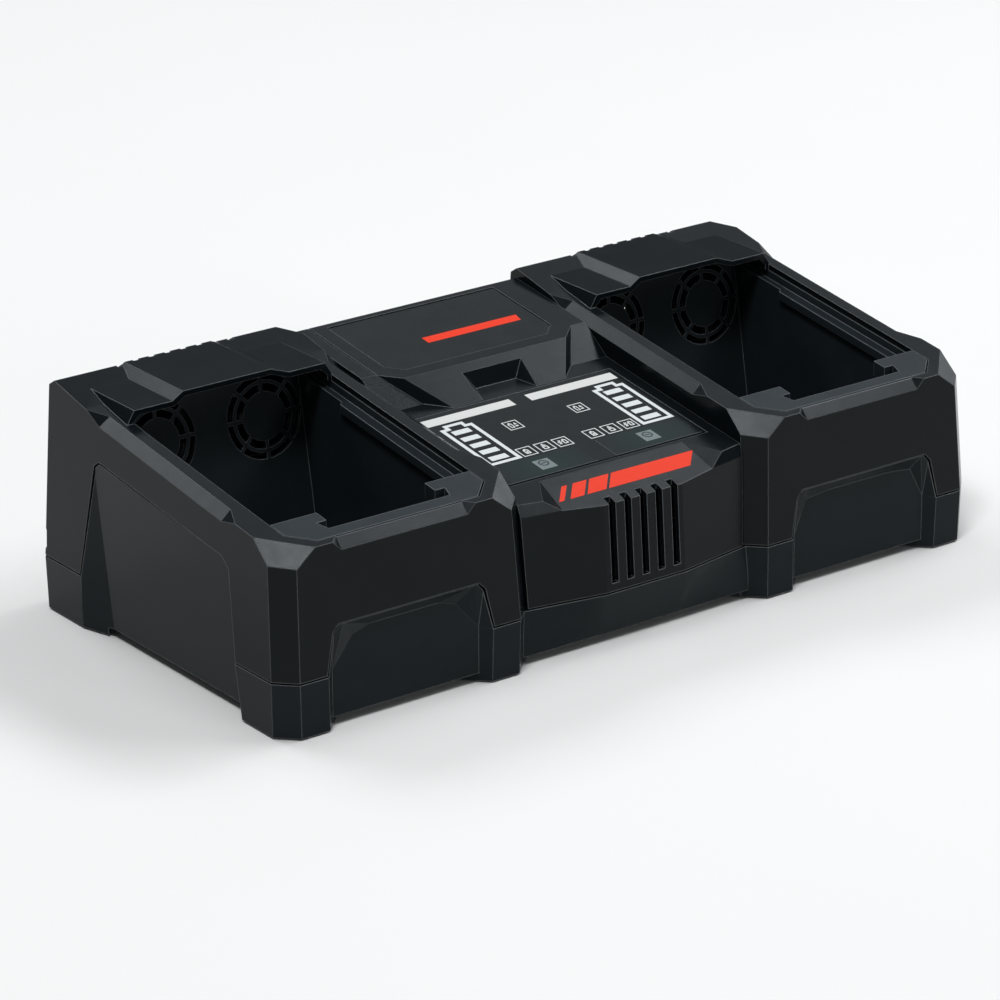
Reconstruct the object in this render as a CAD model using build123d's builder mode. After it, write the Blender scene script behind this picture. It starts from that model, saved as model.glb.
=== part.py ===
"""Twin-bay battery charger: two faceted battery wells either side of a control console.

Units are millimetres.  X runs to the right, Y to the back and Z up.  The origin lies on the
ground, under the middle of the charger's box.
"""

import os
from math import cos, radians, sin, tan

from build123d import *

# ------------------------------------------------------------------ overall
DEPTH = 195.5  # front to back at the parting line
POD_WIDTH = 130.8  # one pod across, at the parting line
DISPLAY_HALF = 54.8  # the display sets how far apart the pods stand
DISPLAY_MARGIN = 4.8  # from its ends to the pods, at the parting line
POD_PITCH = POD_WIDTH + 2 * (DISPLAY_HALF + DISPLAY_MARGIN)  # between the middles of the wells
PARTING = 25.65  # height of the line where covers meet the lower housing
SEAM = 0.5  # open joint between neighbouring housing shells
WALL = 2.6  # moulded wall
SLOPE = 8.0  # rim, console plate and display all rise backwards by this
CORNER = 8.7  # vertical corner cut of a pod

# ------------------------------------------------------------------ pod shell
FORM_TOP = 112.0  # height at which the drafted block ends, above every roof
SIDE_DRAFT = 2.3
FRONT_DRAFT = 4.0
REAR_DRAFT = 3.2
RIM_FRONT = 82.0  # height of the rim plane above the front face
RIM_END = DEPTH - 42.6  # the rim stops rising at SLOPE here
REAR_RISE = 12.4  # steeper rise of the roof behind the rim
REAR_EDGE = DEPTH - 17.5  # top rear edge
REAR_EDGE_DROP = 7.0  # bevel behind the top rear edge, down
REAR_EDGE_RUN = 11.0  # and back

FACET_BACK = 23.0  # front corner facet, on the side edge
FACET_IN = 45.0  # and on the front edge, from the pod's middle
FACET_DROP = 7.6  # lower edge of the facet below the front edge
REAR_FACET_SIDE = DEPTH - 27.3  # rear corner facet on the right, on the side edge
REAR_FACET_IN = 53.6  # and on the top rear edge, from the pod's middle
REAR_FACET_DROP = 12.0

BEVEL_WIDTH = 5.4  # long bevel on the side edge of the rim
BEVEL_DROP = 3.5
BEVEL_FROM = 46.5
BEVEL_TO = DEPTH - 54.0
BEVEL_TIP = 10.5  # length of the pointed end of a bevel
LIP_HALF = 32.0  # bevel on the front edge of the rim
LIP_WIDTH = 4.3
LIP_DROP = 4.2
LIP_TIP = 4.6

# ------------------------------------------------------------------ hood
HOOD_FRONT = DEPTH - 64.5
HOOD_ROOF = 106.4
PLATEAU = 109.8
HOOD_LEFT = -51.0
HOOD_RIGHT = 48.0
HOOD_FOOT = 3.8  # spread of the hood's side walls at the rim
PLATEAU_LEFT = -26.0
PLATEAU_RIGHT = 19.5
FLANK_LEFT = 5.5  # steep left flank of the plateau
FLANK_RIGHT = 9.5  # shallow right flank

# ------------------------------------------------------------------ battery well
BAY_HALF = 51.2  # half the opening in the rim
BAY_FRAME_FRONT = 7.9  # the well's frame is let into the rim from here
BAY_FRAME_CORNER = 9.8  # corner cut of that frame
WELL_HALF = 48.0
WELL_FRONT = 28.3
WELL_DEPTH = 73.0  # floor below the rim
POCKET_HALF = 30.8  # latch pocket in front of the well
POCKET_FRONT = 14.7
POCKET_DEPTH = 18.0
HOOK_HALF = 27.7  # inner corner of the frame's hooked ends
HOOK_LENGTH = 6.3
HOOK_UNDERCUT = 2.0
RAIL_DROP = 7.0  # guide rail below the rim
RAIL_HEIGHT = 4.0
RAIL_HALF = 46.0  # inner edge of the rails
RAIL_END = HOOD_FRONT - 12.5
RAIL_LEAD = 1.6  # lead-in at the rear end of a rail
BACK_WALL = HOOD_FRONT + 19.0  # back wall of the well at FAN_HEIGHT
BACK_LEAN = 10.0
FAN_HEIGHT = 80.5

# ------------------------------------------------------------------ fans
FAN_PITCH = 55.5
GRILLE_OUTER = 38.6
GRILLE_RING = 31.0
GRILLE_HUB = 22.4
GRILLE_BAR = 1.7
GRILLE_SPOKES = 8
FAN_SIZE = 40.0
FAN_THICK = 10.0
FAN_BORE = 38.0
FAN_HUB = 21.0
AXLE = 3.0
AXLE_CLEARANCE = 0.05  # radial
ROTOR_TIP = 36.0
ROTOR_THICK = 7.2
ROTOR_BLADES = 7
FAN_SCREW_PITCH = 32.0
FAN_SCREW = 2.6
FAN_HEAD = 1.6  # height of a small screw head
FAN_CORNER = 2.0
FAN_STRUT = 3.0
FAN_PLATE = 1.4
ROTOR_TOP = 1.0  # below the open side of the frame
ROTOR_CAP = 0.6
BLADE_PITCHED = 38.0
BLADE_SHEET = 1.2
AXLE_TOP = 1.9
HUB_GAP = 0.3
HUB_SIDES = 16

# ------------------------------------------------------------------ lower housing
GROUND_CLEARANCE = 4.2
PAD_PROUD = 0.7  # rubber pads below the feet
FOOT_DRAFT = 1.0
FOOT_SIDE_FRONT = 35.8  # front foot ends here along the side
FOOT_SIDE_REAR = DEPTH - 38.2  # rear foot starts here along the side
FOOT_IN = 42.3  # front and rear feet end here from the pod's middle
FOOT_REACH = 10.0  # the slanting ends of the feet run in under the panels by this
FOOT_BACK = 16.0  # depth of the feet at their inner ends
FOOT_LEDGE = 8.0  # reach of the inner feet under the console
PANEL_DEPTH = 4.6  # recess of side and front panels at the parting line
PANEL_LEAN = 2.2  # the side panels lean outwards going up
RAMP_FRONT = DEPTH - 52.5  # the ramp behind a side panel starts here
SIDE_PANEL_TOP_FRONT = 68.6
SIDE_PANEL_TOP_REAR = 81.5
SIDE_PANEL_FRONT = 43.5
SIDE_PANEL_REAR = DEPTH - 50.1
FRONT_PANEL_TOP = 46.5
FRONT_PANEL_HALF = 36.5
PANEL_ROUND = 3.4
FLOOR = 3.0

# ------------------------------------------------------------------ console
CONSOLE_GAP = 0.4  # to the pods on either side
NOSE_HALF = 21.5  # middle facet of the console's front
NOSE_BACK = 6.8  # set-back of the console's front at its sides
BASE_BACK = 5.7  # set-back of the console's straight lower front edge
CONSOLE_FRONT_DRAFT = 4.0
PLATE_BASE = 79.9  # plate plane above the front face
DISPLAY_BASE = 70.6  # display plane above the front face
WEDGE_TOP = 116.5
WEDGE_BOTTOM = 98.6
WEDGE_TOP_HALF = 45.0
WEDGE_BOTTOM_HALF = 31.0
CHEEK_TOP = 125.0
CHEEK_BOTTOM = 107.8
CHEEK_HALF = DISPLAY_HALF - 0.4
CONSOLE_REAR_EDGE = DEPTH - 18.5
SLANT_TOP = 25.3  # where the display ends and the front slant starts
SLANT_FRONT = 65.3  # height of the front slant at SLANT_FRONT_BACK
SLANT_FRONT_BACK = 2.3
MARGIN_INNER = DISPLAY_HALF - 13.8
MARGIN_OUTER = DISPLAY_HALF - 5.7
MARGIN_FRONT = 9.6
MARGIN_REAR = 22.4
MARGIN_CORNER = 67.5  # height of the front edge where it meets a pod
NOTCH_BOTTOM_HALF = 15.0
NOTCH_TOP_HALF = 16.4
NOTCH_INNER_HALF = 11.0
NOTCH_BACK = 109.1
NOTCH_TOP = 112.4
NAME_HALF = DISPLAY_HALF - 8.8
NAME_FRONT = 123.5
NAME_REAR = DEPTH - 22.0
NAME_CORNER = 6.5
NAME_INSET = 0.5
SHEET = 1.2  # thickness of the name panel and the display
DISPLAY_FRONT = 28.0
DISPLAY_GROOVE = 0.9  # open groove ahead of the display
DISPLAY_FIT = 0.3  # open joint round the display and the name panel
DISPLAY_REAR = 97.0
LIGHT_IN = 4.4
LIGHT_OUT = DISPLAY_HALF - 2.2
LIGHT_FRONT = 88.0
LIGHT_REAR = 94.0
VENT_COUNT = 5
VENT_PITCH = 8.5
VENT_WIDTH = 3.7
VENT_BOTTOM = 29.5
VENT_BACK = 7.0
GROOVE = 0.9

# ------------------------------------------------------------------ screws and pads
BOSS_X = 48.0  # screw columns, from a pod's middle
BOSS_FRONT = 11.0
BOSS_REAR = DEPTH - 11.5
BOSS_TOP = 62.0
BOSS_OUTER = 7.0
SCREW = 3.0
SCREW_HEAD = 6.0
SCREW_CLEARANCE = 0.3  # radial, in the lower housing
SCREW_SINK = 9.0  # head recess below the feet
SCREW_TIP = 40.0
SCREW_HEAD_HIGH = 2.2
POST_WALL = 0.8  # the posts of the lower housing are this much wider than the bosses
CONSOLE_BOSS_X = DISPLAY_HALF - 8.8
CONSOLE_BOSS_FRONT = 22.0
CONSOLE_BOSS_REAR = DEPTH - 15.5
RIB = 1.6
FLAP_LAP = 1.5  # the raised panels reach behind the cover by this
PAD_X = 57.3
PAD_FRONT = 10.3
PAD_REAR = DEPTH - 10.3
PAD = 10.8
PAD_FIT = 0.1
PAD_THICK = 1.6
PEG_SIDES = 8  # hidden bosses, bores and screws are moulded or turned many-sided

# ------------------------------------------------------------------ electronics
BOARD_Z = 16.0
BOARD_WIDTH = 96.0
BOARD_FRONT = 32.0
BOARD_REAR = DEPTH - 27.5
BOARD_THICK = 1.6
BOARD_POST = 6.8
BOARD_SCREW_LENGTH = 7.0
DISPLAY_SCREW_LENGTH = 6.0
BOARD_SCREW_X = BOARD_WIDTH / 2 - 6.0
DISPLAY_BOARD_DROP = 9.0  # below the display plane
DISPLAY_BOARD_HALF = DISPLAY_HALF - 8.8
DISPLAY_BOARD_FRONT = 32.0
DISPLAY_BOARD_REAR = 90.0
CORE_X = 28.0 - BOARD_WIDTH / 2  # transformer
CORE_BACK = BOARD_REAR - 50.0
CORE_WIDTH = 38.0
CORE_LENGTH = 14.0
CORE_HEIGHT = 34.0
CORE_LEG = 10.0
CORE_WINDOW = 8.0
CORE_YOKE = 6.0
SINK_X = BOARD_WIDTH / 2 - 14.0
SINK_BACK = BOARD_REAR - 58.0
SINK_LENGTH = 70.0
SINK_HEIGHT = 38.0
SINK_FINS = 6
FIN_PITCH = 3.4
FIN_THICK = 1.4
CAPACITOR_X = 26.0 - BOARD_WIDTH / 2
CAPACITOR_BACK = BOARD_FRONT + 32.0
CAPACITOR_COUNT = 2
CAPACITOR = 18.0
CAPACITOR_HEIGHT = 34.0
CHOKE_X = 6.0
CHOKE_BACK = BOARD_REAR - 18.0
CHOKE_RADIUS = 9.0
CHOKE_WIRE = 4.0
FUSE_X = 26.0 - BOARD_WIDTH / 2
FUSE_BACK = BOARD_REAR - 13.0
FUSE = 5.0
FUSE_LENGTH = 20.0
FUSE_CAP = 0.3  # its end caps are this much thicker
TERMINAL_WIDTH = 34.0
TERMINAL_HEIGHT = 5.6
TERMINAL_DEPTH = 6.0
TERMINAL_DROP = 1.4  # below the plateau's ceiling
TERMINAL_Z = PLATEAU - WALL - TERMINAL_DROP - TERMINAL_HEIGHT
TERMINAL_X = (PLATEAU_LEFT + PLATEAU_RIGHT) / 2  # the plateau makes room for the block
BLADE_COUNT = 5
BLADE_PITCH = 6.6
BLADE_THICK = 0.8
BLADE_HEIGHT = 3.4
BLADE_REACH = 3.0
BLADE_ROOT = 4.0  # held in the block

# ------------------------------------------------------------------ rear
REAR_VENTS = 8
REAR_VENT_PITCH = 8.25
REAR_VENT_WIDTH = 3.0
REAR_VENT_BOTTOM = 62.0
REAR_VENT_NICK = 1.3  # how far a vent nicks the top rear edge
REAR_GROOVE_LOW = 28.8
REAR_GROOVE_HIGH = 38.0
REAR_GROOVE_DEPTH = 1.2
INLET_WIDTH = 24.0
INLET_HEIGHT = 13.0
INLET_DEPTH = 19.0
INLET_Z = 46.5
INLET_FLANGE = 4.0
INLET_LOBE = 4.9  # radius of the two lobes of the socket
INLET_HOLLOW = 14.0
INLET_FLAT = 7.6
PIN_PITCH = 8.6
PIN = 2.4
PIN_BACK = 3.5  # the pins stop this far inside the face
PIN_LENGTH = 13.5

HALF_POD = POD_WIDTH / 2
RISE = tan(radians(SLOPE))


def back(y):
    """Y of a station given as its distance behind the front face."""
    return y - DEPTH / 2


def rim_z(y):
    """Height of the rim plane at a distance behind the front face."""
    return RIM_FRONT + RISE * y


def roof_z(y):
    """Height of the steeper roof behind the rim."""
    return rim_z(RIM_END) + (y - RIM_END) * tan(radians(REAR_RISE))


def side_at(z, inset=0.0):
    """Half width of a pod at height z."""
    return HALF_POD - inset - (z - PARTING) * tan(radians(SIDE_DRAFT))


def front_at(z, inset=0.0):
    """Distance of a pod's front wall behind the front face at height z."""
    return inset + (z - PARTING) * tan(radians(FRONT_DRAFT))


def rear_at(z, inset=0.0):
    """Distance of a pod's rear wall behind the front face at height z."""
    return DEPTH - inset - (z - PARTING) * tan(radians(REAR_DRAFT))


def through(a, b, c, inset=0.0):
    """The plane through three corners, its normal pointing up, moved down by inset."""
    a, b, c = Vector(*a), Vector(*b), Vector(*c)
    normal = (b - a).cross(c - a)
    if normal.Z < 0:
        normal = -normal
    return Plane(origin=a, z_dir=normal).offset(-inset)


def mirrored(corner):
    """The corner on the other side of the YZ plane."""
    return (-corner[0], corner[1], corner[2])


def above(planes, size=400.0):
    """Everything that lies above all the planes, inside a large block."""
    with BuildPart() as region:
        Box(size, size, size)
        for plane in planes:
            split(bisect_by=plane, keep=Keep.TOP)
    return region.part


def slope_plane(base):
    """A plane at SLOPE through the given height above the front face, Y up the slope."""
    normal = (0, -sin(radians(SLOPE)), cos(radians(SLOPE)))
    return Plane(origin=(0, back(0), base), x_dir=(1, 0, 0), z_dir=normal)


def along(y):
    """Length up a sloping plane of a station behind the front face."""
    return y / cos(radians(SLOPE))


def peg(radius, places=((0, 0),), mode=Mode.ADD):
    """Small eight-sided sections of the given inscribed radius, in the open sketch."""
    with Locations(*places):
        RegularPolygon(radius, PEG_SIDES, major_radius=False, rotation=180 / PEG_SIDES, mode=mode)


def cut_rectangle(half_width, front, rear, cut):
    """A rectangle with all four corners cut, in the open sketch."""
    with Locations((0, (back(front) + back(rear)) / 2)):
        plate = Rectangle(2 * half_width, rear - front)
    chamfer(plate.vertices(), cut)


def edge_bevel(low_a, low_b, in_a, in_b, tip_a, tip_b, inset):
    """What a bevel with two pointed ends takes off an edge."""
    return above(
        [
            through(low_a, low_b, in_a, inset),
            through(tip_a, in_a, low_a, inset),
            through(tip_b, in_b, low_b, inset),
        ]
    )


# ================================================================== pod cover
def side_bevel(inset):
    """The long bevel on the right edge of a pod's rim."""
    edge_low, edge_high = rim_z(BEVEL_FROM), rim_z(BEVEL_TO)
    outer_low, outer_high = side_at(edge_low), side_at(edge_high)
    return edge_bevel(
        (outer_low, back(BEVEL_FROM), edge_low - BEVEL_DROP),
        (outer_high, back(BEVEL_TO), edge_high - BEVEL_DROP),
        (outer_low - BEVEL_WIDTH, back(BEVEL_FROM + 1.0), rim_z(BEVEL_FROM + 1.0)),
        (outer_high - BEVEL_WIDTH, back(BEVEL_TO), edge_high),
        (outer_low, back(BEVEL_FROM - BEVEL_TIP), rim_z(BEVEL_FROM - BEVEL_TIP)),
        (outer_high, back(BEVEL_TO + BEVEL_TIP), rim_z(BEVEL_TO + BEVEL_TIP)),
        inset,
    )


def front_bevel(inset):
    """The bevel on the front edge of a pod's rim."""
    edge = front_at(rim_z(0))
    low = edge - LIP_DROP * tan(radians(FRONT_DRAFT))
    return edge_bevel(
        (-LIP_HALF, back(low), rim_z(edge) - LIP_DROP),
        (LIP_HALF, back(low), rim_z(edge) - LIP_DROP),
        (-LIP_HALF, back(edge + LIP_WIDTH), rim_z(edge + LIP_WIDTH)),
        (LIP_HALF, back(edge + LIP_WIDTH), rim_z(edge + LIP_WIDTH)),
        (-LIP_HALF - LIP_TIP, back(edge), rim_z(edge)),
        (LIP_HALF + LIP_TIP, back(edge), rim_z(edge)),
        inset,
    )


def pod_block(inset):
    """The drafted, faceted block of a pod; inset gives the inner face of its walls."""
    bevels = [side_bevel(inset), front_bevel(inset)]
    bevels.append(bevels[0].mirror(Plane.YZ))
    side_corner = (side_at(rim_z(FACET_BACK)), back(FACET_BACK), rim_z(FACET_BACK))
    front_edge = front_at(rim_z(0))
    front_corner = (FACET_IN, back(front_edge), rim_z(front_edge))
    low_z = rim_z(front_edge) - FACET_DROP
    low_corner = (side_at(low_z) - CORNER, back(front_at(low_z)), low_z)
    facet = (side_corner, front_corner, low_corner)
    rear_z = roof_z(REAR_EDGE)
    rear_side_z = roof_z(REAR_FACET_SIDE)
    rear_low_z = rear_z - REAR_FACET_DROP
    rear_facet = (
        (REAR_FACET_IN, back(REAR_EDGE), rear_z),
        (side_at(rear_side_z), back(REAR_FACET_SIDE), rear_side_z),
        (side_at(rear_low_z) - CORNER / 2, back(rear_at(rear_low_z) - CORNER / 2), rear_low_z),
    )
    with BuildPart() as block:
        with BuildSketch(Plane.XY.offset(PARTING)):
            cut_rectangle(side_at(PARTING, inset), front_at(PARTING, inset), rear_at(PARTING, inset), CORNER)
        with BuildSketch(Plane.XY.offset(FORM_TOP)):
            cut_rectangle(side_at(FORM_TOP, inset), front_at(FORM_TOP, inset), rear_at(FORM_TOP, inset), CORNER)
        loft()
        with BuildSketch(Plane.YZ):
            with BuildLine():
                Polyline(
                    (back(-inset), PARTING),
                    (back(-inset), rim_z(0) - inset),
                    (back(RIM_END), rim_z(RIM_END) - inset),
                    (back(REAR_EDGE), rear_z - inset),
                    (back(REAR_EDGE + REAR_EDGE_RUN), rear_z - REAR_EDGE_DROP - inset),
                    (back(DEPTH), rear_z - 1.6 * REAR_EDGE_DROP - inset),
                    (back(DEPTH), PARTING),
                    close=True,
                )
            make_face()
        extrude(amount=POD_WIDTH, both=True, mode=Mode.INTERSECT)
        split(bisect_by=through(*facet, inset), keep=Keep.BOTTOM)
        split(bisect_by=through(*map(mirrored, facet), inset), keep=Keep.BOTTOM)
        split(bisect_by=through(*rear_facet, inset), keep=Keep.BOTTOM)
        for bevel in bevels:
            add(bevel, mode=Mode.SUBTRACT)
    return block.part


def hood_block(inset):
    """The hood over the back of a well, with its plateau; inset gives its inside."""
    depth = REAR_EDGE - HOOD_FRONT
    low = rim_z(HOOD_FRONT) - 2 * WALL
    with BuildPart() as hood:
        with BuildSketch(Plane.XZ.offset(-back(HOOD_FRONT))):
            with BuildLine():
                Polyline(
                    (HOOD_LEFT - HOOD_FOOT + inset, low),
                    (HOOD_LEFT - HOOD_FOOT + inset, rim_z(HOOD_FRONT)),
                    (HOOD_LEFT + inset, HOOD_ROOF - inset),
                    (PLATEAU_LEFT - FLANK_LEFT + inset / 3, HOOD_ROOF - inset),
                    (PLATEAU_LEFT + inset / 3, PLATEAU - inset),
                    (PLATEAU_RIGHT, PLATEAU - inset),
                    (PLATEAU_RIGHT + FLANK_RIGHT, HOOD_ROOF - inset),
                    (HOOD_RIGHT - inset, HOOD_ROOF - inset),
                    (HOOD_RIGHT + HOOD_FOOT - inset, rim_z(HOOD_FRONT)),
                    (HOOD_RIGHT + HOOD_FOOT - inset, low),
                    close=True,
                )
            make_face()
        extrude(amount=-depth)
        if inset:
            split(bisect_by=back_wall_plane(WALL + SEAM), keep=Keep.TOP)
    return hood.part


def back_wall_plane(behind):
    """The well's leaning back wall, normal into the well, moved backwards by behind."""
    lean = radians(BACK_LEAN)
    plane = Plane(origin=(0, back(BACK_WALL), FAN_HEIGHT), x_dir=(1, 0, 0), z_dir=(0, -cos(lean), sin(lean)))
    return plane.offset(-behind)


def bay_outline(grow):
    """The outline of the well's frame where it is let into the rim."""
    rear = HOOD_FRONT
    front = BAY_FRAME_FRONT - grow
    with BuildSketch() as outline:
        with BuildLine():
            Polyline(
                (-BAY_HALF - grow, back(rear)),
                (-BAY_HALF - grow, back(front + BAY_FRAME_CORNER)),
                (-BAY_HALF + BAY_FRAME_CORNER - grow, back(front)),
                (BAY_HALF - BAY_FRAME_CORNER + grow, back(front)),
                (BAY_HALF + grow, back(front + BAY_FRAME_CORNER)),
                (BAY_HALF + grow, back(rear)),
                close=True,
            )
        make_face()
    return outline.sketch


def side_panel_outline(grow):
    """The side panel that rises from the lower housing into a pod's side."""
    with BuildSketch() as outline:
        with BuildLine():
            Polyline(
                (back(FOOT_SIDE_FRONT - grow), PARTING - WALL),
                (back(FOOT_SIDE_FRONT - grow), PARTING),
                (back(SIDE_PANEL_FRONT - 0.6 * PANEL_ROUND - grow), SIDE_PANEL_TOP_FRONT - PANEL_ROUND + grow),
                (back(SIDE_PANEL_FRONT + PANEL_ROUND - grow), SIDE_PANEL_TOP_FRONT + 0.7 + grow),
                (back(SIDE_PANEL_REAR - PANEL_ROUND), SIDE_PANEL_TOP_REAR + grow),
                (back(SIDE_PANEL_REAR + grow), SIDE_PANEL_TOP_REAR - 0.8 * PANEL_ROUND + grow),
                (back(FOOT_SIDE_REAR + grow), PARTING),
                (back(FOOT_SIDE_REAR + grow), PARTING - WALL),
                close=True,
            )
        make_face()
    return outline.sketch


def front_panel_outline(grow):
    """The front panel that rises from the lower housing into a pod's front."""
    foot = FOOT_IN + grow
    top = FRONT_PANEL_TOP + grow
    shoulder = FRONT_PANEL_HALF + PANEL_ROUND * 0.6 + grow
    with BuildSketch() as outline:
        with BuildLine():
            Polyline(
                (-foot, PARTING - WALL),
                (-foot, PARTING),
                (-shoulder, top - PANEL_ROUND),
                (-FRONT_PANEL_HALF + 0.3 * PANEL_ROUND - grow, top),
                (FRONT_PANEL_HALF - 0.3 * PANEL_ROUND + grow, top),
                (shoulder, top - PANEL_ROUND),
                (foot, PARTING),
                (foot, PARTING - WALL),
                close=True,
            )
        make_face()
    return outline.sketch


def pod_skin(inset):
    """The drafted sides of a pod, carried on down a little below the parting line."""
    with BuildPart() as skin:
        for low, high in ((PARTING - WALL, PARTING), (PARTING, FORM_TOP)):
            start = max(low, PARTING)
            with BuildSketch(Plane.XY.offset(low)):
                cut_rectangle(side_at(start, inset), front_at(start, inset), rear_at(start, inset), CORNER)
            with BuildSketch(Plane.XY.offset(high)):
                cut_rectangle(side_at(high, inset), front_at(high, inset), rear_at(high, inset), CORNER)
            loft()
    return skin.part


def screw_column(x, y, wall_y, wall_x):
    """A boss with its pilot hole, and a rib to the nearest wall."""
    with BuildPart() as column:
        with BuildSketch(Plane.XY.offset(PARTING)):
            peg(BOSS_OUTER / 2, [(x, back(y))])
        extrude(amount=BOSS_TOP - PARTING)
        with BuildSketch(Plane.XY.offset(PARTING)):
            if wall_y is None:
                with Locations(((x + wall_x) / 2, back(y))):
                    Rectangle(abs(wall_x - x), RIB)
            else:
                with Locations((x, back((y + wall_y) / 2))):
                    Rectangle(RIB, abs(wall_y - y))
        extrude(amount=BOSS_TOP - PARTING)
        with BuildSketch(Plane.XY.offset(PARTING)):
            peg(SCREW / 2 + AXLE_CLEARANCE, [(x, back(y))])
        extrude(amount=SCREW_TIP - PARTING + SCREW, mode=Mode.SUBTRACT)
    return column.part


def pod_columns():
    """The four screw columns of a pod cover."""
    with BuildPart() as columns:
        for x in (-BOSS_X, BOSS_X):
            add(screw_column(x, BOSS_FRONT, -WALL, None))
            add(screw_column(x, BOSS_REAR, DEPTH + WALL, None))
        add(pod_block(WALL / 2), mode=Mode.INTERSECT)
    return columns.part


def pod_cover(outer_side):
    """The faceted upper shell of one pod, around its middle; outer_side is -1 or 1."""
    outer, inner = pod_block(0.0), pod_block(WALL)
    hood, hollow = hood_block(0.0), hood_block(WALL)
    with BuildPart() as cover:
        add(outer)
        add(hood)
        add(inner, mode=Mode.SUBTRACT)
        with BuildSketch(Plane.XY.offset(SIDE_PANEL_TOP_FRONT)):
            add(bay_outline(0.0))
        extrude(amount=FORM_TOP, mode=Mode.SUBTRACT)
        add(hollow, mode=Mode.SUBTRACT)
        # openings for the raised panels of the lower housing
        with BuildSketch(Plane.YZ):
            add(side_panel_outline(SEAM))
        extrude(amount=outer_side * POD_WIDTH, mode=Mode.SUBTRACT)
        with BuildSketch(Plane.XZ.offset(-back(WALL * 4))):
            add(front_panel_outline(SEAM))
        extrude(amount=WALL * 8, mode=Mode.SUBTRACT)
        # cooling slots down the back, nicking the top rear edge
        with BuildSketch(Plane.XY.offset(REAR_VENT_BOTTOM)):
            with Locations((0, back((REAR_EDGE - REAR_VENT_NICK + DEPTH) / 2))):
                with GridLocations(REAR_VENT_PITCH, 1, REAR_VENTS, 1):
                    Rectangle(REAR_VENT_WIDTH, DEPTH - REAR_EDGE + REAR_VENT_NICK)
        extrude(amount=FORM_TOP, mode=Mode.SUBTRACT)
        add(pod_columns())
        add(rear_groove(pod_skin(REAR_GROOVE_DEPTH), POD_WIDTH), mode=Mode.SUBTRACT)
    return cover.part


def rear_groove(core, half_width):
    """The shallow band round the back of a cover, outside its core."""
    height = REAR_GROOVE_HIGH - REAR_GROOVE_LOW
    with BuildPart() as groove:
        with Locations((0, back(DEPTH), REAR_GROOVE_LOW + height / 2)):
            Box(2 * half_width, 2 * (CORNER + REAR_GROOVE_DEPTH), height)
        add(core, mode=Mode.SUBTRACT)
    return groove.part


# ================================================================== battery well
def wall_at(z, behind=0.0):
    """Distance behind the front face of the well's back wall at height z."""
    return BACK_WALL + behind + (z - FAN_HEIGHT) * tan(radians(BACK_LEAN))


def well_profile(half, front, depth, rear=None):
    """A slot running up and out of the rim, between its front and the back wall."""
    top = FORM_TOP
    rear_low = wall_at(rim_z(BACK_WALL) - depth) if rear is None else rear
    rear_high = wall_at(top) if rear is None else rear
    with BuildPart() as slot:
        with BuildSketch(Plane.YZ):
            with BuildLine():
                Polyline(
                    (back(front), rim_z(front) - depth),
                    (back(front), top),
                    (back(rear_high), top),
                    (back(rear_low), rim_z(rear_low) - depth),
                    close=True,
                )
            make_face()
        extrude(amount=half, both=True)
    return slot.part


def rim_opening():
    """The opening left by the well's frame, with hooked ends either side of the latch pocket."""
    hook_rear = POCKET_FRONT + HOOK_LENGTH
    with BuildSketch() as outline:
        with BuildLine():
            Polyline(
                (-BAY_HALF, back(HOOD_FRONT)),
                (-BAY_HALF, back(WELL_FRONT)),
                (-HOOK_HALF, back(WELL_FRONT)),
                (-HOOK_HALF, back(hook_rear)),
                (-POCKET_HALF - HOOK_UNDERCUT, back(hook_rear)),
                (-POCKET_HALF, back(POCKET_FRONT)),
                (POCKET_HALF, back(POCKET_FRONT)),
                (POCKET_HALF + HOOK_UNDERCUT, back(hook_rear)),
                (HOOK_HALF, back(hook_rear)),
                (HOOK_HALF, back(WELL_FRONT)),
                (BAY_HALF, back(WELL_FRONT)),
                (BAY_HALF, back(HOOD_FRONT)),
                close=True,
            )
        make_face()
    return outline.sketch


def grille_slots():
    """Two rings of slots round a closed hub, crossed by spokes."""
    with BuildSketch() as slots:
        with GridLocations(FAN_PITCH, 1, 2, 1):
            Circle(GRILLE_OUTER / 2)
            Circle((GRILLE_RING + GRILLE_BAR) / 2, mode=Mode.SUBTRACT)
            Circle((GRILLE_RING - GRILLE_BAR) / 2)
            Circle(GRILLE_HUB / 2, mode=Mode.SUBTRACT)
        for turn in range(GRILLE_SPOKES // 2):
            with GridLocations(FAN_PITCH, 1, 2, 1):
                Rectangle(GRILLE_OUTER + 2, GRILLE_BAR, rotation=turn * 360 / GRILLE_SPOKES, mode=Mode.SUBTRACT)
    return slots.sketch


def fan_screw_places():
    """The corner screws of both fans of a pod, in the plane of the back wall."""
    half = FAN_SCREW_PITCH / 2
    corners = [(-half, -half), (half, -half), (-half, half), (half, half)]
    return [(side * FAN_PITCH / 2 + x, y) for side in (-1, 1) for x, y in corners]


def guide_rails():
    """The two rails that carry a battery pack, with a lead-in at their rear ends."""
    with BuildPart() as rails:
        with BuildSketch(Plane.YZ):
            with BuildLine():
                Polyline(
                    (back(WELL_FRONT), rim_z(WELL_FRONT) - RAIL_DROP),
                    (back(RAIL_END), rim_z(RAIL_END) - RAIL_DROP),
                    (back(RAIL_END), rim_z(RAIL_END) - RAIL_DROP - RAIL_HEIGHT),
                    (back(WELL_FRONT), rim_z(WELL_FRONT) - RAIL_DROP - RAIL_HEIGHT),
                    close=True,
                )
            make_face()
        extrude(amount=WELL_HALF + WALL, both=True)
        Box(2 * RAIL_HALF, 4 * DEPTH, 4 * FORM_TOP, mode=Mode.SUBTRACT)
        lead_in = rails.edges().filter_by(Axis.Z).group_by(Axis.Y)[-1].sort_by(Axis.X)[1:3]
        chamfer(lead_in, RAIL_LEAD)
    return rails.part


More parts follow.
